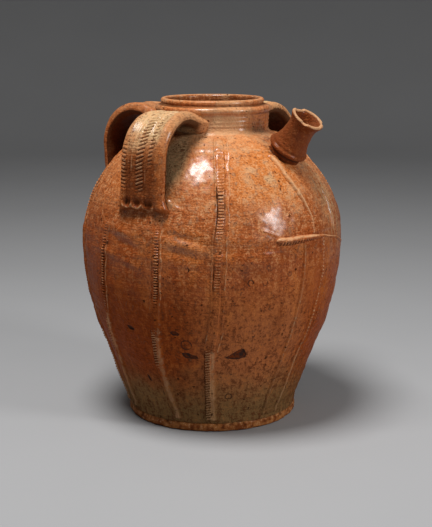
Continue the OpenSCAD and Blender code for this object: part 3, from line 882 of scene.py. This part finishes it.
class JUG_OT_turn_neck(bpy.types.Operator):
    """Turn the neck, with its flange, its groove and its rolled lip"""

    bl_idname = "jug.turn_neck"
    bl_label = "Turn the Neck"

    def execute(self, context):
        wall = Wall(context.scene.jug_sizes)
        mouth, neck = wall.sizes.mouth_r, wall.neck_r
        flange_z = LIP_Z - 12.5 * MM
        groove_z = LIP_Z - 7.4 * MM
        piece = thrown("neck", self.outline(mouth, neck, flange_z, groove_z), STEPS["neck"])
        co = points_of(piece)
        r, az = round_axis(co)
        z = co[:, 2].copy()
        flange = ridge(z, flange_z, 5 * MM)
        outer = r > neck - 3 * MM
        worked = 0.55 * lumps(co, 30 * MM, 31) + 0.35 * lumps(co, 9 * MM, 32)
        worked += 0.6 * flange * lumps(co, 16 * MM, 33)
        worked += 2.4 * window(az, 0, 80, 40) * outer * smooth(z, groove_z, groove_z - 3 * MM)
        worked += 0.35 * np.sin(z / (0.75 * MM)) * window(z, NECK_Z + 4 * MM, flange_z - 6 * MM, 3 * MM)
        push_out(co, r, smooth(z, NECK_Z, NECK_Z + 6 * MM) * worked)
        sag = 0.8 * lumps(co * (1, 1, 0.2), 60 * MM, 34) - 0.8
        co[:, 2] += smooth(z, LIP_Z - 22 * MM, LIP_Z - 10 * MM) * MM * sag
        shape(piece, co)
        # Painted shade: the groove and the band under the flange are marked dark.
        sunk = ridge(z, groove_z, 1.3 * MM) * (r > neck - 6 * MM)
        sunk = np.maximum(sunk, 0.8 * ridge(z, flange_z - 5.1 * MM, 1.6 * MM) * outer)
        raised = smooth(z, LIP_Z - 3 * MM, LIP_Z) + 0.5 * flange * outer * (0.6 + lumps(co, 12 * MM, 35))
        # Painted light: the front of the neck is marked pale.
        painted_neck_light = window(az, -78, -24, 14) * (0.36 + 0.34 * lumps(co, 7 * MM, 36)) * outer * (1 - flange)
        mark(piece, 0.55 - 0.42 * sunk + 0.2 * raised + painted_neck_light)
        finish(piece, glaze_for(context, "body_glaze"), "body_glaze", "neck_collar")
        return {"FINISHED"}

    def outline(self, mouth, neck, flange_z, groove_z):
        """The neck's section, up its outside from the shoulder and down its bore."""
        outline = []
        for t in np.linspace(0, 1, 12):
            outline.append((neck + 5 * MM * (1 - t) ** 2.4, NECK_Z - 2.6 * MM + 10 * MM * t))
        outline += [(neck, z) for z in np.linspace(NECK_Z + 8.4 * MM, flange_z - 4.9 * MM, 12)]
        outline += arc_points(neck - 1.5 * MM, flange_z, 4.5 * MM, -62, 66, 16)
        outline += [(neck - 2.4 * MM, groove_z - 0.4 * MM), (neck - 3.6 * MM, groove_z + 0.2 * MM)]
        outline += arc_points(mouth + 3.5 * MM, LIP_Z - 3.5 * MM, 3.5 * MM, -52, 180, 24)
        outline += [(mouth, z) for z in np.linspace(LIP_Z - 5 * MM, NECK_Z - 5 * MM, 14)]
        return outline


class JUG_OT_raise_spout(bpy.types.Operator):
    """Raise the flared spout, and press the roll of clay round its foot"""

    bl_idname = "jug.raise_spout"
    bl_label = "Raise the Spout"

    def execute(self, context):
        wall = Wall(context.scene.jug_sizes)
        at, along = wall.spout_seat()
        place = Matrix.Translation(at) @ along.to_track_quat("Z", "Y").to_matrix().to_4x4()
        self.place = np.asarray(place)
        self.tube(context, wall.sizes.spout_len)
        self.luting(context, wall)
        return {"FINISHED"}

    def set_on(self, local):
        """Moves points from the spout's own axis to its seat."""
        return local @ self.place[:3, :3].T + self.place[:3, 3]

    def outline(self, rim_s):
        """The tube's section, up its outside to the lip and down its bore."""
        ridge_s, waist_s = 9 * MM, 40 * MM
        waist_r, lip_r, mouth_r = 17 * MM, 20.7 * MM, 16.2 * MM
        curve = upright_arc(7.3 * MM, waist_s - ridge_s)
        outline = [(20 * MM, s) for s in np.linspace(SPOUT_ROOT, 6.6 * MM, 10)]
        outline += arc_points(22.3 * MM, ridge_s, 2.7 * MM, -80, 60, 14)
        for s in np.linspace(12.2 * MM, waist_s, 40):
            lift = 0.4 * MM * ridge(s, 15.2 * MM, 1.2 * MM) - 0.2 * MM * ridge(s, 12.9 * MM, 0.8 * MM)
            outline.append((waist_r + curve - math.sqrt(curve ** 2 - (waist_s - s) ** 2) + lift, s))
        for t in np.linspace(0.1, 0.92, 10):
            outline.append((waist_r + (lip_r - waist_r) * t ** 1.5, waist_s + (rim_s - waist_s) * t))
        outline += arc_points(lip_r - SPOUT_LIP_R, rim_s, SPOUT_LIP_R, -25, 180, 14)
        for t in np.linspace(0.08, 1, 14):
            outline.append((mouth_r + (SPOUT_BORE_R - mouth_r) * smooth(t, -0.3, 1), rim_s - 14 * MM * t))
        return outline + [(SPOUT_BORE_R, s) for s in np.linspace(rim_s - 16 * MM, SPOUT_ROOT, 10)]

    def tube(self, context, tall):
        """The thrown tube, chipped and worn at its lip."""
        rim_s = tall - SPOUT_LIP_R
        piece = thrown("spout", self.outline(rim_s), STEPS["spout"])
        local = points_of(piece)
        r = round_axis(local)[0]
        s = local[:, 2].copy()
        rim = smooth(s, rim_s - 4 * MM, rim_s + 1 * MM)
        chipped = smooth(lumps(local, 8 * MM, 41), 0.15, 0.75) * rim
        worked = 0.5 * lumps(local, 14 * MM, 42) + 0.3 * lumps(local, 5 * MM, 43)
        outer = r > SPOUT_BORE_R + 2 * MM
        push_out(local, r, outer * (worked - 1.1 * chipped))
        local[:, 2] += MM * rim * (0.8 * lumps(local, 18 * MM, 44) - 1.4 * chipped)
        shape(piece, self.set_on(local))
        # Painted shade: the foot under the ridge and the bore below the lip are marked dark.
        sunk = 0.9 * ridge(s, 4.8 * MM, 2.2 * MM) + 0.25 * ridge(s, 12.9 * MM, 0.9 * MM)
        depth = smooth(s, rim_s - 6 * MM, rim_s - 30 * MM) * ~outer
        worn = smooth(s, rim_s - 0.6 * MM, rim_s + 1.9 * MM) * (0.62 + 0.5 * lumps(local, 5 * MM, 45))
        mark(piece, 0.42 + worn - 0.42 * sunk * outer - 0.42 * depth)
        finish(piece, glaze_for(context, "spout_glaze"), "body_glaze", "spout_tube")

    def luting(self, context, wall):
        """The roll of clay, let down all round until it lies on the shoulder."""
        middle_r, roll_r = 20.6 * MM, 2.6 * MM
        bpy.ops.mesh.primitive_torus_add(
            major_segments=160, minor_segments=20, major_radius=middle_r, minor_radius=roll_r)
        piece = name_new("spout_luting")
        local = points_of(piece)
        turn = np.arctan2(local[:, 1], local[:, 0])
        ring = np.stack([middle_r * np.cos(turn), middle_r * np.sin(turn), 0 * turn], axis=-1)
        level = np.zeros(len(turn))
        for _ in range(8):
            spot = self.set_on(ring) + level[:, None] * self.place[:3, 2]
            r = round_axis(spot)[0]
            level -= np.hypot(r - wall.shoulder_cx, spot[:, 2] - BELLY_Z) - wall.shoulder_arc
        pressed = 1 + 0.3 * lumps(local, 9 * MM, 51) + 0.15 * lumps(local, 4 * MM, 52)
        local = ring + (local - ring) * pressed[:, None]
        local[:, 2] += level - 2.0 * MM
        shape(piece, self.set_on(local))
        # Painted shade: the roll is marked sunk, so the glaze paints it dark as the shade under the spout's
        # ridge.
        mark(piece, 0.12 + 0.2 * lumps(local, 6 * MM, 53))
        finish(piece, glaze_for(context, "spout_glaze"), "body_glaze", "spout_luting_ring")


# Thumb marks at a handle's foot: place across and up from it, half width and depth
THUMBS = [(-18, 17, 4.7, 3.0), (-4.6, 16.8, 4.9, 3.2), (11.4, 15.6, 5.3, 3.4)]
# How far each handle leans sideways from its foot to its bend
LEANS = {"right": 5.2 * MM, "left": 6 * MM, "back": 2.5 * MM}
# Columns of the strap's face and of its back, its rows, and how far it starts below its foot
STRAP_FACE = 92
STRAP_BACK = 30
STRAP_ROWS = 290
STRAP_START = 4 * MM


class JUG_OT_pull_handles(bpy.types.Operator):
    """Pull a strap, roll notches along it, and bend three copies of it into the handles"""

    bl_idname = "jug.pull_handles"
    bl_label = "Pull the Handles"

    def execute(self, context):
        wall = Wall(context.scene.jug_sizes)
        self.measure(wall)
        strap, flat = self.strap(wall.sizes)
        for side, az in HANDLES.items():
            piece = copied(strap, f"{side}_strap_handle")
            shape(piece, self.bent(flat, az, LEANS[side], wall.sizes))
            finish(piece, glaze_for(context, "handle_glaze"), "handle_glaze", f"handle_{side}")
        bpy.data.objects.remove(strap)
        return {"FINISHED"}

    def measure(self, wall):
        """Works out the strap's leg, bend and arm."""
        sizes = wall.sizes
        slope = sizes.arm_slope
        foot_z = BELLY_Z + sizes.leg_rise
        self.bend_x = float(wall.radius(foot_z)) - sizes.leg_sink - sizes.bend_r
        arm_z = LIP_Z - 26 * MM
        self.bend_z = arm_z + (self.bend_x - wall.neck_r) * math.tan(slope) - sizes.bend_r / math.cos(slope)
        self.leg = self.bend_z - foot_z
        self.bend = sizes.bend_r * (math.pi / 2 + slope)
        end_r = math.sqrt(wall.neck_r ** 2 - (0.5 * sizes.strap_w) ** 2)
        arm = (self.bend_x - sizes.bend_r * math.sin(slope) - end_r) / math.cos(slope) + 2 * MM
        self.whole = self.leg + self.bend + arm

    def cords(self, y):
        """Thin raised lines between the rows of notches, in millimetres, at places across the strap."""
        return 0.4 * ridge(y, -16.4, 0.9) + 0.9 * ridge(y, -11.6, 0.9) + 0.7 * ridge(y, 7.6, 0.9)

    def ladders(self, y, s):
        """Where the three rows of notches lie: along the far edge, the middle and the near edge."""
        return (window(y, -27.4, -20.6, 0.6) * window(s, 34, 84, 8),
                window(y, -5.2, 4.6, 0.6) * window(s, 32, 120, 9),
                window(y, 10.4, 15.8, 0.5) * window(s, 62, 148, 9))

    def rows(self, y, s):
        """Relief rolled along the strap's face, in millimetres, at places across and along it."""
        out = self.cords(y) * smooth(s, 30, 44)
        out -= 0.9 * ridge(y, -14, 1.0) + 1.0 * ridge(y, -18.4, 1.0) + 1.1 * ridge(y, 5.9, 1.0)
        edge, middle, fore = self.ladders(y, s)
        out -= 1.7 * edge * smooth(np.cos(math.tau * (s + 0.15 * y) / NOTCH_PITCH), -0.2, 0.7)
        out -= 1.6 * middle * smooth(np.cos(math.tau * (s - 0.35 * y) / NOTCH_PITCH), -0.1, 0.7)
        out -= 1.3 * fore * smooth(np.cos(math.tau * (s - 0.25 * y) / 4.2), -0.1, 0.7)
        return out + 1.2 * window(y, 18.6, 27, 2.4)

    def thumbs(self, y, s):
        """Depth of the thumb marks, and how much of a rim they pushed up below them."""
        sunk, rims = np.zeros(len(y)), np.zeros(len(y))
        for across, up, half, depth in THUMBS:
            gap = np.hypot(y - across, s - up) / half
            sunk += depth * np.exp(-gap ** 3)
            rims += ridge(gap, 1.35, 0.28) * smooth(up - s, -half * 0.4, half * 0.9)
        return sunk, rims

    def strap(self, sizes):
        """The flat strap: its mesh, and each vertex's place along, across and out."""
        piece, column, share = rolled("strap", STRAP_FACE + STRAP_BACK, STRAP_ROWS)
        s = share * (self.whole + STRAP_START) - STRAP_START
        front = column <= STRAP_FACE
        q = np.where(front, 2 * column / STRAP_FACE - 1, 1 - 2 * (column - STRAP_FACE) / STRAP_BACK)
        face = front & (np.abs(q) < 1)
        flare = 0.22 * smooth(s, 26 * MM, 2 * MM) + 0.06 * smooth(s, self.leg + self.bend, self.whole)
        half_w = sizes.strap_w / 2 * (1 + flare)
        root = smooth(s, self.whole - 26 * MM, self.whole)
        half_t = sizes.strap_t / 2 * (1 + np.where(front, 0.25, 1.1) * root ** 1.6)
        y = half_w * np.sin(math.pi / 2 * q)
        past = np.clip((np.abs(y) - half_w + half_t) / half_t, 0, 1)
        out = np.where(front, 1, -1) * half_t * np.sqrt(1 - past * past)
        spot = np.stack([out, y, s], axis=-1)
        sound = 0.6 + 0.4 * smooth(lumps(spot, 26 * MM, 61), -0.6, 0.2)
        flat_y = y / half_w * sizes.strap_w / 2 / MM
        rolled_in = sound * self.rows(flat_y, s / MM) * face * smooth(s, self.whole, self.leg + self.bend)
        thumbed, rims = (face * part for part in self.thumbs(y / MM, s / MM))
        out += MM * (rolled_in - thumbed + 1.7 * rims)
        out += root * MM * 2.2 * lumps(spot, 8 * MM, 73)
        out -= 9 * MM * smooth(s, 12.5 * MM, 5 * MM)
        flat = np.stack([s, y, out], axis=-1)
        shape(piece, flat)
        top = window(s, self.leg + 0.3 * self.bend, self.whole, 16 * MM)
        drawn = smooth(s, 30 * MM, 48 * MM) * smooth(lumps(spot, 12 * MM, 62), -0.7, 0.2)
        lines = np.minimum(rolled_in, 0.2) * (0.22 - 0.1 * top) + 0.3 * self.cords(flat_y) * face * drawn
        lines += 0.24 * sum(self.ladders(flat_y, s / MM)) * face * (1 - 0.6 * top)
        # Painted shade: the back facing the wall, except at the root, and the thumb marks are marked dark.
        inner = 0.4 * ~front * (1 - root)
        worn = EVEN + lines - 0.07 * thumbed + 0.4 * rims + 0.1 * top * face - inner
        mark(piece, worn, tint=1 - 0.6 * smooth(np.abs(y / half_w), 0.6, 0.78))
        return piece, flat

    def bent(self, flat, az, lean, sizes):
        """The strap's points on a handle in direction az, with that handle's own lean and wobble."""
        s, y, out = flat.T
        hand = flat + (az, 0, 0)
        out = out + MM * (0.8 * lumps(hand, 24 * MM, 71) + 0.35 * lumps(hand, 8 * MM, 72))
        y = y + MM * (1.2 * np.sin(s / (34 * MM) + az) + 0.9 * lumps(hand, 20 * MM, 74))
        risen = smooth(s, 0, self.leg + 0.5 * self.bend) - 0.5
        y = y + lean * risen * smooth(s, self.whole, self.leg + 0.6 * self.bend)
        turn = np.clip((s - self.leg) / sizes.bend_r, 0, self.bend / sizes.bend_r)
        past = np.maximum(s - self.leg - self.bend, 0)
        below = np.minimum(s - self.leg, 0)
        r = self.bend_x + (sizes.bend_r + out) * np.cos(turn) - past * np.sin(turn)
        z = self.bend_z + (sizes.bend_r + out) * np.sin(turn) + past * np.cos(turn) + below
        face = math.radians(az)
        return np.stack([r * math.cos(face) - y * math.sin(face),
                         r * math.sin(face) + y * math.cos(face), z], axis=-1)


# Paths of the bands down the body, as heights and directions
QUARTER_PATH = [(14, -54.8), (21, -54.8), (60, -55.2), (101, -55.1), (121, -54.8), (135, -53.7),
                (166, -52.5), (210, -52), (249, -51.4), (276, -50.2), (329, -49.5), (360, -48.3)]
FORE_PATH = [(14, -77.6), (23, -78.2), (36, -79.8), (61, -81.9), (88, -82.2), (116, -81.4),
             (150, -79.9), (188, -78), (224, -77.5), (277, -78)]
AFT_PATH = [(14, -117.8), (22, -117.7), (43, -118), (78, -116.4), (106, -115), (141, -111.2),
            (175, -108.6), (211, -106.9), (277, -104.8)]
# Edges of a notched band, in millimetres from its path, and its columns
BAND_LEFT = -8.5
BAND_RIGHT = 12
BAND_COLUMNS = 44


class FlatBand:
    """One rolled length of notched band, kept flat as the pattern for its copies."""

    def __init__(self, sizes, name, low, high, style):
        self.piece, across, share, self.under = strip(name, BAND_COLUMNS, int((high - low) / BAND_ROW))
        self.low, self.high = low, high
        self.z = low + share * (high - low)
        x = BAND_LEFT + (across + 1) / 2 * (BAND_RIGHT - BAND_LEFT)
        x[self.under] = 1
        self.x = x
        self.edge = smooth(x, BAND_LEFT, BAND_LEFT + 1.8) * smooth(x, BAND_RIGHT, BAND_RIGHT - 1.6)
        self.body, self.worked = self.section(x, self.z / MM, sizes.rung_pitch / MM, style)

    def section(self, x, z, pitch, style):
        """Height of the plain band, and of what is rolled into it, in millimetres."""
        ladder = np.ones(len(z))
        comb = np.zeros(len(z))
        firm = 0.18 + 0.74 * window(z, 254, 304, 12) + 0.32 * window(z, 140, 222, 20)
        run = 3.3
        groove = 2.0
        if style == "comb":
            ladder = np.zeros(len(z))
            comb = window(z, 14, 122, 4)
        fringe = 9.8
        if style == "flank":
            ladder = smooth(z, 136, 164)
            comb = window(z, 90, 136, 8)
            firm = 0.4 + 0.35 * window(z, 170, 238, 12)
            fringe = 5.6
            run = 2.4
            groove = 0.7
        along = 1.05 * z + 0.7 * np.sin(z / 10.3) + 0.45 * np.sin(z / 4.1)
        wave = 0.8 * np.sin(along / 7) + 0.5 * np.sin(along / 3.3 + 1)
        rung = smooth(np.cos(math.tau * along / pitch), -0.7, 0.5)
        body = ladder * (1.6 * window(x, -6.4, 4.6, 1.2) + 0.5 * window(x, 4, fringe + 0.7, 1.2))
        body += (1 - ladder) * (1.7 * ridge(x, 2.6, 3.6) + 1.3 * window(x, -5.6, 1, 0.8))
        worked = ladder * firm * window(x, -run, run, 0.5) * (1.9 * rung - 0.9)
        worked += ladder * (0.7 * ridge(x, -6.5, 0.8) - groove * firm * ridge(x, -4.6, 1.1))
        worked += 0.8 * ladder * ridge(x, fringe * (1 + 0.1 * wave), 0.8)
        worked -= ladder * firm * ridge(x, 0.5 * fringe, 1.1)
        stroke = smooth(np.cos(math.tau * (along - 0.35 * x) / (1.04 * pitch)), -0.5, 0.5)
        worked += comb * window(x, -5.4, 0.2, 0.5) * (2.1 * stroke - 0.5)
        worked += (1 - ladder) * (0.9 * ridge(x, 2.6, 3.4) - 1.8 * ridge(x, -7, 1.3))
        return body, worked


class JUG_OT_lay_bands(bpy.types.Operator):
    """Roll the notched bands flat, and lay copies of them down the body"""

    bl_idname = "jug.lay_bands"
    bl_label = "Lay the Bands"

    def execute(self, context):
        self.wall = Wall(context.scene.jug_sizes)
        self.glaze = glaze_for(context, "band_glaze")
        sizes = self.wall.sizes
        foot = FOOT_TOP + 3 * MM
        upper = FlatBand(sizes, "upper_band", BAND_JOINT_Z - 8 * MM, NECK_Z - 3 * MM, "ladder")
        lower = FlatBand(sizes, "lower_band", foot, BAND_JOINT_Z + 2 * MM, "comb")
        flank = FlatBand(sizes, "flank_band", foot, BELLY_Z + 46 * MM, "flank")
        quarters = {"front_right": (0, 1), "front_left": (96, -0.6),
                    "back_left": (186, 0.8), "back_right": (-84, -0.5)}
        for seed, (name, (turn, bow)) in enumerate(quarters.items()):
            path = self.turned(QUARTER_PATH, turn, -51, bow)
            self.lay(upper, f"band_{name}_upper", path, 80 + seed, tongue=True)
            self.lay(lower, f"band_{name}_lower", path, 90 + seed)
        flanks = {"right": (0, 1, "fore", "aft"), "left": (180, 0.7, "aft", "fore"),
                  "back": (270, 0.7, "right", "left")}
        for seed, (side, (turn, bow, first, second)) in enumerate(flanks.items()):
            fore = self.turned(FORE_PATH, turn, -79, bow)
            aft = self.turned(AFT_PATH, turn, -107, bow)
            self.lay(flank, f"band_{side}_handle_{first}", fore, 100 + seed)
            self.lay(flank, f"band_{side}_handle_{second}", aft, 110 + seed)
        for flat in (upper, lower, flank):
            bpy.data.objects.remove(flat.piece)
        return {"FINISHED"}

    def turned(self, path, turn, middle, bow):
        """A path moved round the jug, with its wander from the middle direction scaled."""
        return [(z, middle + turn + bow * (az - middle)) for z, az in path]

    def lay(self, flat, node, path, seed, tongue=False):
        """Lays a copy of a flat band on the wall, pressed down and worn by hand."""
        wall = self.wall
        piece = copied(flat.piece, f"laid_{node}")
        x, z = flat.x, flat.z
        heights, directions = zip(*path)
        spread = 1 + 0.1 * wander(z, 22 * MM, seed)
        az = np.interp(z / MM, heights, directions) + 0.22 * wander(z, 30 * MM, seed + 40)
        az = az + np.degrees(x * MM * spread / wall.radius(z))
        spot = wall.lay(az, z, 0)
        sound = smooth(wander(z, 30 * MM, seed + 80), -0.7, 0.1)
        sound = 0.35 + 0.65 * sound * (0.35 + 0.65 * smooth(lumps(spot, 5 * MM, seed + 60), -0.6, 0.2))
        sound = sound + (1 - sound) * 0.7 * smooth(z, 140 * MM, 100 * MM)
        lie = 0.85 + 0.15 * smooth(z, 90 * MM, 250 * MM) + 0.22 * lumps(spot, 16 * MM, seed + 20)
        ends = smooth(z, flat.low, flat.low + 3 * MM) * smooth(z, flat.high, flat.high - 12 * MM)
        out = flat.body * lie + flat.worked * sound
        if tongue:
            cut = flat.low + np.clip(4 - x, 0, 9) * 1.3 * MM
            ends = smooth(z, cut, cut + 2 * MM) * smooth(z, flat.high, flat.high - 4 * MM)
            out += 1.7 * smooth(z, flat.low + 26 * MM, flat.low + 6 * MM) * ridge(x, 1, 5)
        firm = flat.edge * ends
        out = np.clip(out, 0, wall.sizes.band_t / MM) * firm - 0.35 * (1 - firm)
        # Painted shade: the groove down each band's left side is marked dark with the rolled relief.
        worn = EVEN + 0.44 * flat.worked * sound * ends + 0.05 * lumps(spot, 5 * MM, seed + 30)
        press_on(wall, piece, node, self.glaze, az, z, out, flat.under, worn)


class JUG_OT_lay_spout_straps(bpy.types.Operator):
    """Lay the wide strap below the spout and the cross strap over it"""

    bl_idname = "jug.lay_spout_straps"
    bl_label = "Lay the Spout Straps"

    def execute(self, context):
        self.wall = Wall(context.scene.jug_sizes)
        self.glaze = glaze_for(context, "band_glaze")
        seat = self.wall.spout_seat()[0].z
        self.wide("spout_strap_upper", CROSS_Z + 1 * MM, seat + 1 * MM,
                  [(240, -6), (267, -6.6), (283, -8), (298, -10.2), (312, -13.4), (326, -14.8), (340, -17)],
                  [(239, 11.7), (250, 12), (273, 13.3), (294, 13.6), (312, 15.2), (326, 14.3), (340, 17)],
                  self.upper_lines, 121)
        self.wide("spout_strap_lower", FOOT_TOP + 3 * MM, CROSS_Z - 2 * MM,
                  [(15, -20), (61, -18.5), (130, -15.5), (200, -13.5), (245, -12.5)],
                  [(15, -3), (61, -1), (130, 2.5), (200, 5), (245, 6.5)], self.lower_lines, 122)
        self.cross()
        return {"FINISHED"}

    def upper_lines(self, half, x, z):
        """Edges of the strap above the cross strap: a thin ridge on one side, two on the other."""
        wave = 0.6 * np.sin(z / 9)
        broad = 1.4 + 3.4 * smooth(z, 266, 310)
        out = 1.5 * ridge(x + wave, -half + 2.2, broad)
        out += 1.4 * ridge(x, half - 2.6, 1.3) + 1.1 * ridge(x - wave, half - 8.4, 1.4)
        return out - 1.0 * ridge(x, half - 5.4, 1.3)

    def lower_lines(self, half, x, z):
        """Lines of the strap below the cross strap: its edges and one notched ridge."""
        notch = smooth(np.cos(math.tau * z / 4.2), -0.5, 0.6)
        middle = 0.42 * half
        out = 0.9 * ridge(x, -half + 2.2, 1.3) + 0.6 * ridge(x, half - 2.2, 1.5)
        out += (0.5 + 1.1 * notch) * ridge(x, middle, 1.7) * smooth(z, 100, 130)
        out += 1.4 * ridge(x, middle, 2.4) * smooth(z, 130, 90)
        return out - 0.8 * ridge(x, middle - 3.4, 1.1)

    def wide(self, node, low, high, left, right, lines, seed):
        """Lays a wide strap between two edges, given as heights and directions."""
        wall = self.wall
        piece, q, share, under = strip(f"laid_{node}", 64, int((high - low) / APRON_ROW))
        q[under] = 0
        z = low + share * (high - low)
        left_az = np.interp(z / MM, *zip(*left))
        right_az = np.interp(z / MM, *zip(*right))
        half = np.radians(right_az - left_az) / 2 * wall.radius(z) / MM + 1.5
        az = (left_az + right_az) / 2 + np.degrees(q * half * MM / wall.radius(z))
        az += 0.3 * wander(z, 26 * MM, seed)
        x = q * half
        drawn = lines(half - 1.5, x, z / MM)
        spot = wall.lay(az, z, 0)
        drawn *= 0.7 + 0.3 * smooth(lumps(spot, 18 * MM, seed + 5), -0.5, 0.3)
        firm = smooth(np.abs(x), half, half - 2.6)
        firm *= smooth(z, low, low + 4 * MM) * smooth(z, high, high - 3 * MM)
        flat = wall.sizes.apron_t / MM * (0.6 + 0.3 * lumps(spot, 20 * MM, seed + 1))
        out = np.clip(flat + drawn, 0, 3.4) * firm - 0.35 * (1 - firm)
        press_on(wall, piece, node, self.glaze, az, z, out, under, EVEN + 0.28 * drawn * firm)

    def cross(self):
        """Lays the cross strap: thick and blunt at one end, thinned out and drooping at the other."""
        wall = self.wall
        sizes = wall.sizes
        piece, q, share, under = strip("laid_cross_strap", 26, 260)
        q[under] = 0
        steps = (0, 0.22, 0.5, 0.74, 1)
        directions = (-26.6, -14, 1, 14, 29.4)
        drops = (0.6, 1, 2.8, 9.2, 23)
        az = np.interp(share, steps, directions)
        middle_z = CROSS_Z / MM - np.interp(share, steps, drops) + 0.8 * wander(share, 0.12, 131)
        blunt = np.sqrt(np.clip(share / 0.03, 0, 1)) * np.sqrt(np.clip((1 - share) / 0.05, 0, 1))
        thick = 1.22 - 0.74 * smooth(share, 0.16, 0.6)
        half = sizes.cross_w / 2 / MM * blunt * thick
        notch = smooth(np.cos(math.tau * share * CROSS_LENGTH / NOTCH_PITCH), -0.3, 0.7)
        notch *= smooth(q, 0.1, -0.5) * smooth(share, 0.86, 0.6)
        dome = np.sqrt(np.clip(1 - q * q, 0, 1))
        z = (middle_z + q * half) * MM
        out = sizes.cross_t / MM * thick * blunt * dome * (0.95 - 0.3 * notch) - 0.6
        rough = lumps(wall.lay(az, z, 0), 5 * MM, 132)
        out += 0.7 * rough * dome
        # Painted light and shade: the upper side is marked pale and the notches below are marked dark.
        worn = 0.52 + 0.46 * smooth(q, 0, 0.6) * dome - 0.34 * notch + 0.16 * rough
        press_on(wall, piece, "cross_strap", self.glaze, az, z, out, under, worn, sunk=1.8)


class JUG_OT_set_stage(bpy.types.Operator):
    """Set the floor, the lamps and the camera"""

    bl_idname = "jug.set_stage"
    bl_label = "Set the Stage"

    def execute(self, context):
        stage = context.scene.jug_stage
        self.floor(stage)
        for name, (az, rise, far, size) in LAMPS.items():
            self.lamp(context, f"{name}_lamp", az, rise, far, size, getattr(stage, name))
        self.sky(context, stage)
        self.camera(context, stage)
        context.scene.view_settings.view_transform = "Standard"
        return {"FINISHED"}

    def sky(self, context, stage):
        """Even light from all round."""
        world = bpy.data.worlds.new("even_light")
        world.use_nodes = True
        light = world.node_tree.nodes["Background"]
        light.inputs["Color"].default_value = (stage.ambient, stage.ambient, stage.ambient, 1)
        context.scene.world = world

    def camera(self, context, stage):
        """The camera, level from side to side."""
        camera = bpy.data.cameras.new("camera")
        camera.lens = stage.lens
        camera.shift_x = stage.shift
        view = bpy.data.objects.new("camera", camera)
        context.scene.collection.objects.link(view)
        view.location = (stage.camera_far * math.sin(stage.camera_turn),
                         -stage.camera_far * math.cos(stage.camera_turn), stage.camera_z)
        view.rotation_euler = (math.pi / 2 - stage.camera_dip, 0, stage.camera_turn)
        context.scene.camera = view

    def floor(self, stage):
        """A floor that sweeps up into a backdrop all round the jug."""
        bpy.ops.mesh.primitive_grid_add(x_subdivisions=64, y_subdivisions=64, size=FLOOR_SIZE)
        piece = name_new("floor")
        co = points_of(piece)
        co[:, 2] = SWEEP_HIGH * smooth(round_axis(co)[0], *SWEEP)
        shape(piece, co)
        bpy.ops.object.shade_smooth()
        mix = Recipe("studio_floor")
        at = mix.place()
        shade = tuple(0.94 * c for c in stage.floor)
        mix.base = mix.mix(tuple(stage.floor), shade, mix.noise(at, 0.3, 2))
        piece.data.materials.append(mix.surface(0.8, mix.noise(at, 4 * MM, 2), 0.05 * MM, 0))

    def lamp(self, context, name, az, rise, far, size, watts):
        """A soft lamp that faces the jug from a direction and a height."""
        light = bpy.data.lights.new(name, "AREA")
        light.shape = "ELLIPSE"
        light.size, light.size_y = size
        light.energy = watts
        lamp = bpy.data.objects.new(name, light)
        context.scene.collection.objects.link(lamp)
        turn, lift = math.radians(az), math.radians(rise)
        toward = Vector((math.cos(turn) * math.cos(lift), math.sin(turn) * math.cos(lift), math.sin(lift)))
        lamp.location = Vector((0, 0, AIM_Z)) + far * toward
        lamp.rotation_euler = toward.to_track_quat("Z", "Y").to_euler()


class JUG_PT_panel(bpy.types.Panel):
    """The jug's pieces and their settings"""

    bl_idname = "JUG_PT_panel"
    bl_label = "Oil Jug"
    bl_space_type = "VIEW_3D"
    bl_region_type = "UI"
    bl_category = "Oil Jug"

    def draw(self, context):
        layout = self.layout
        for operator in OPERATORS:
            layout.operator(operator.bl_idname)
        for name in GROUPS:
            group = getattr(context.scene, name)
            box = layout.box()
            for key in group.__annotations__:
                box.prop(group, key)


OPERATORS = (
    JUG_OT_turn_foot, JUG_OT_throw_walls, JUG_OT_turn_neck, JUG_OT_raise_spout, JUG_OT_pull_handles,
    JUG_OT_lay_bands, JUG_OT_lay_spout_straps, JUG_OT_set_stage,
)
GROUPS = {"jug_sizes": JugSizes, "jug_glaze": JugGlaze, "jug_stage": JugStage}


def register():
    for name, group in GROUPS.items():
        bpy.utils.register_class(group)
        setattr(bpy.types.Scene, name, bpy.props.PointerProperty(type=group))
    for operator in OPERATORS:
        bpy.utils.register_class(operator)
    bpy.utils.register_class(JUG_PT_panel)


def unregister():
    bpy.utils.unregister_class(JUG_PT_panel)
    for operator in reversed(OPERATORS):
        bpy.utils.unregister_class(operator)
    for name, group in reversed(GROUPS.items()):
        delattr(bpy.types.Scene, name)
        bpy.utils.unregister_class(group)


def main():
    """Builds the whole jug and its stage."""
    register()
    bpy.ops.jug.turn_foot()
    bpy.ops.jug.throw_walls()
    bpy.ops.jug.turn_neck()
    bpy.ops.jug.raise_spout()
    bpy.ops.jug.pull_handles()
    bpy.ops.jug.lay_bands()
    bpy.ops.jug.lay_spout_straps()
    bpy.ops.jug.set_stage()


if __name__ == "__main__":
    main()
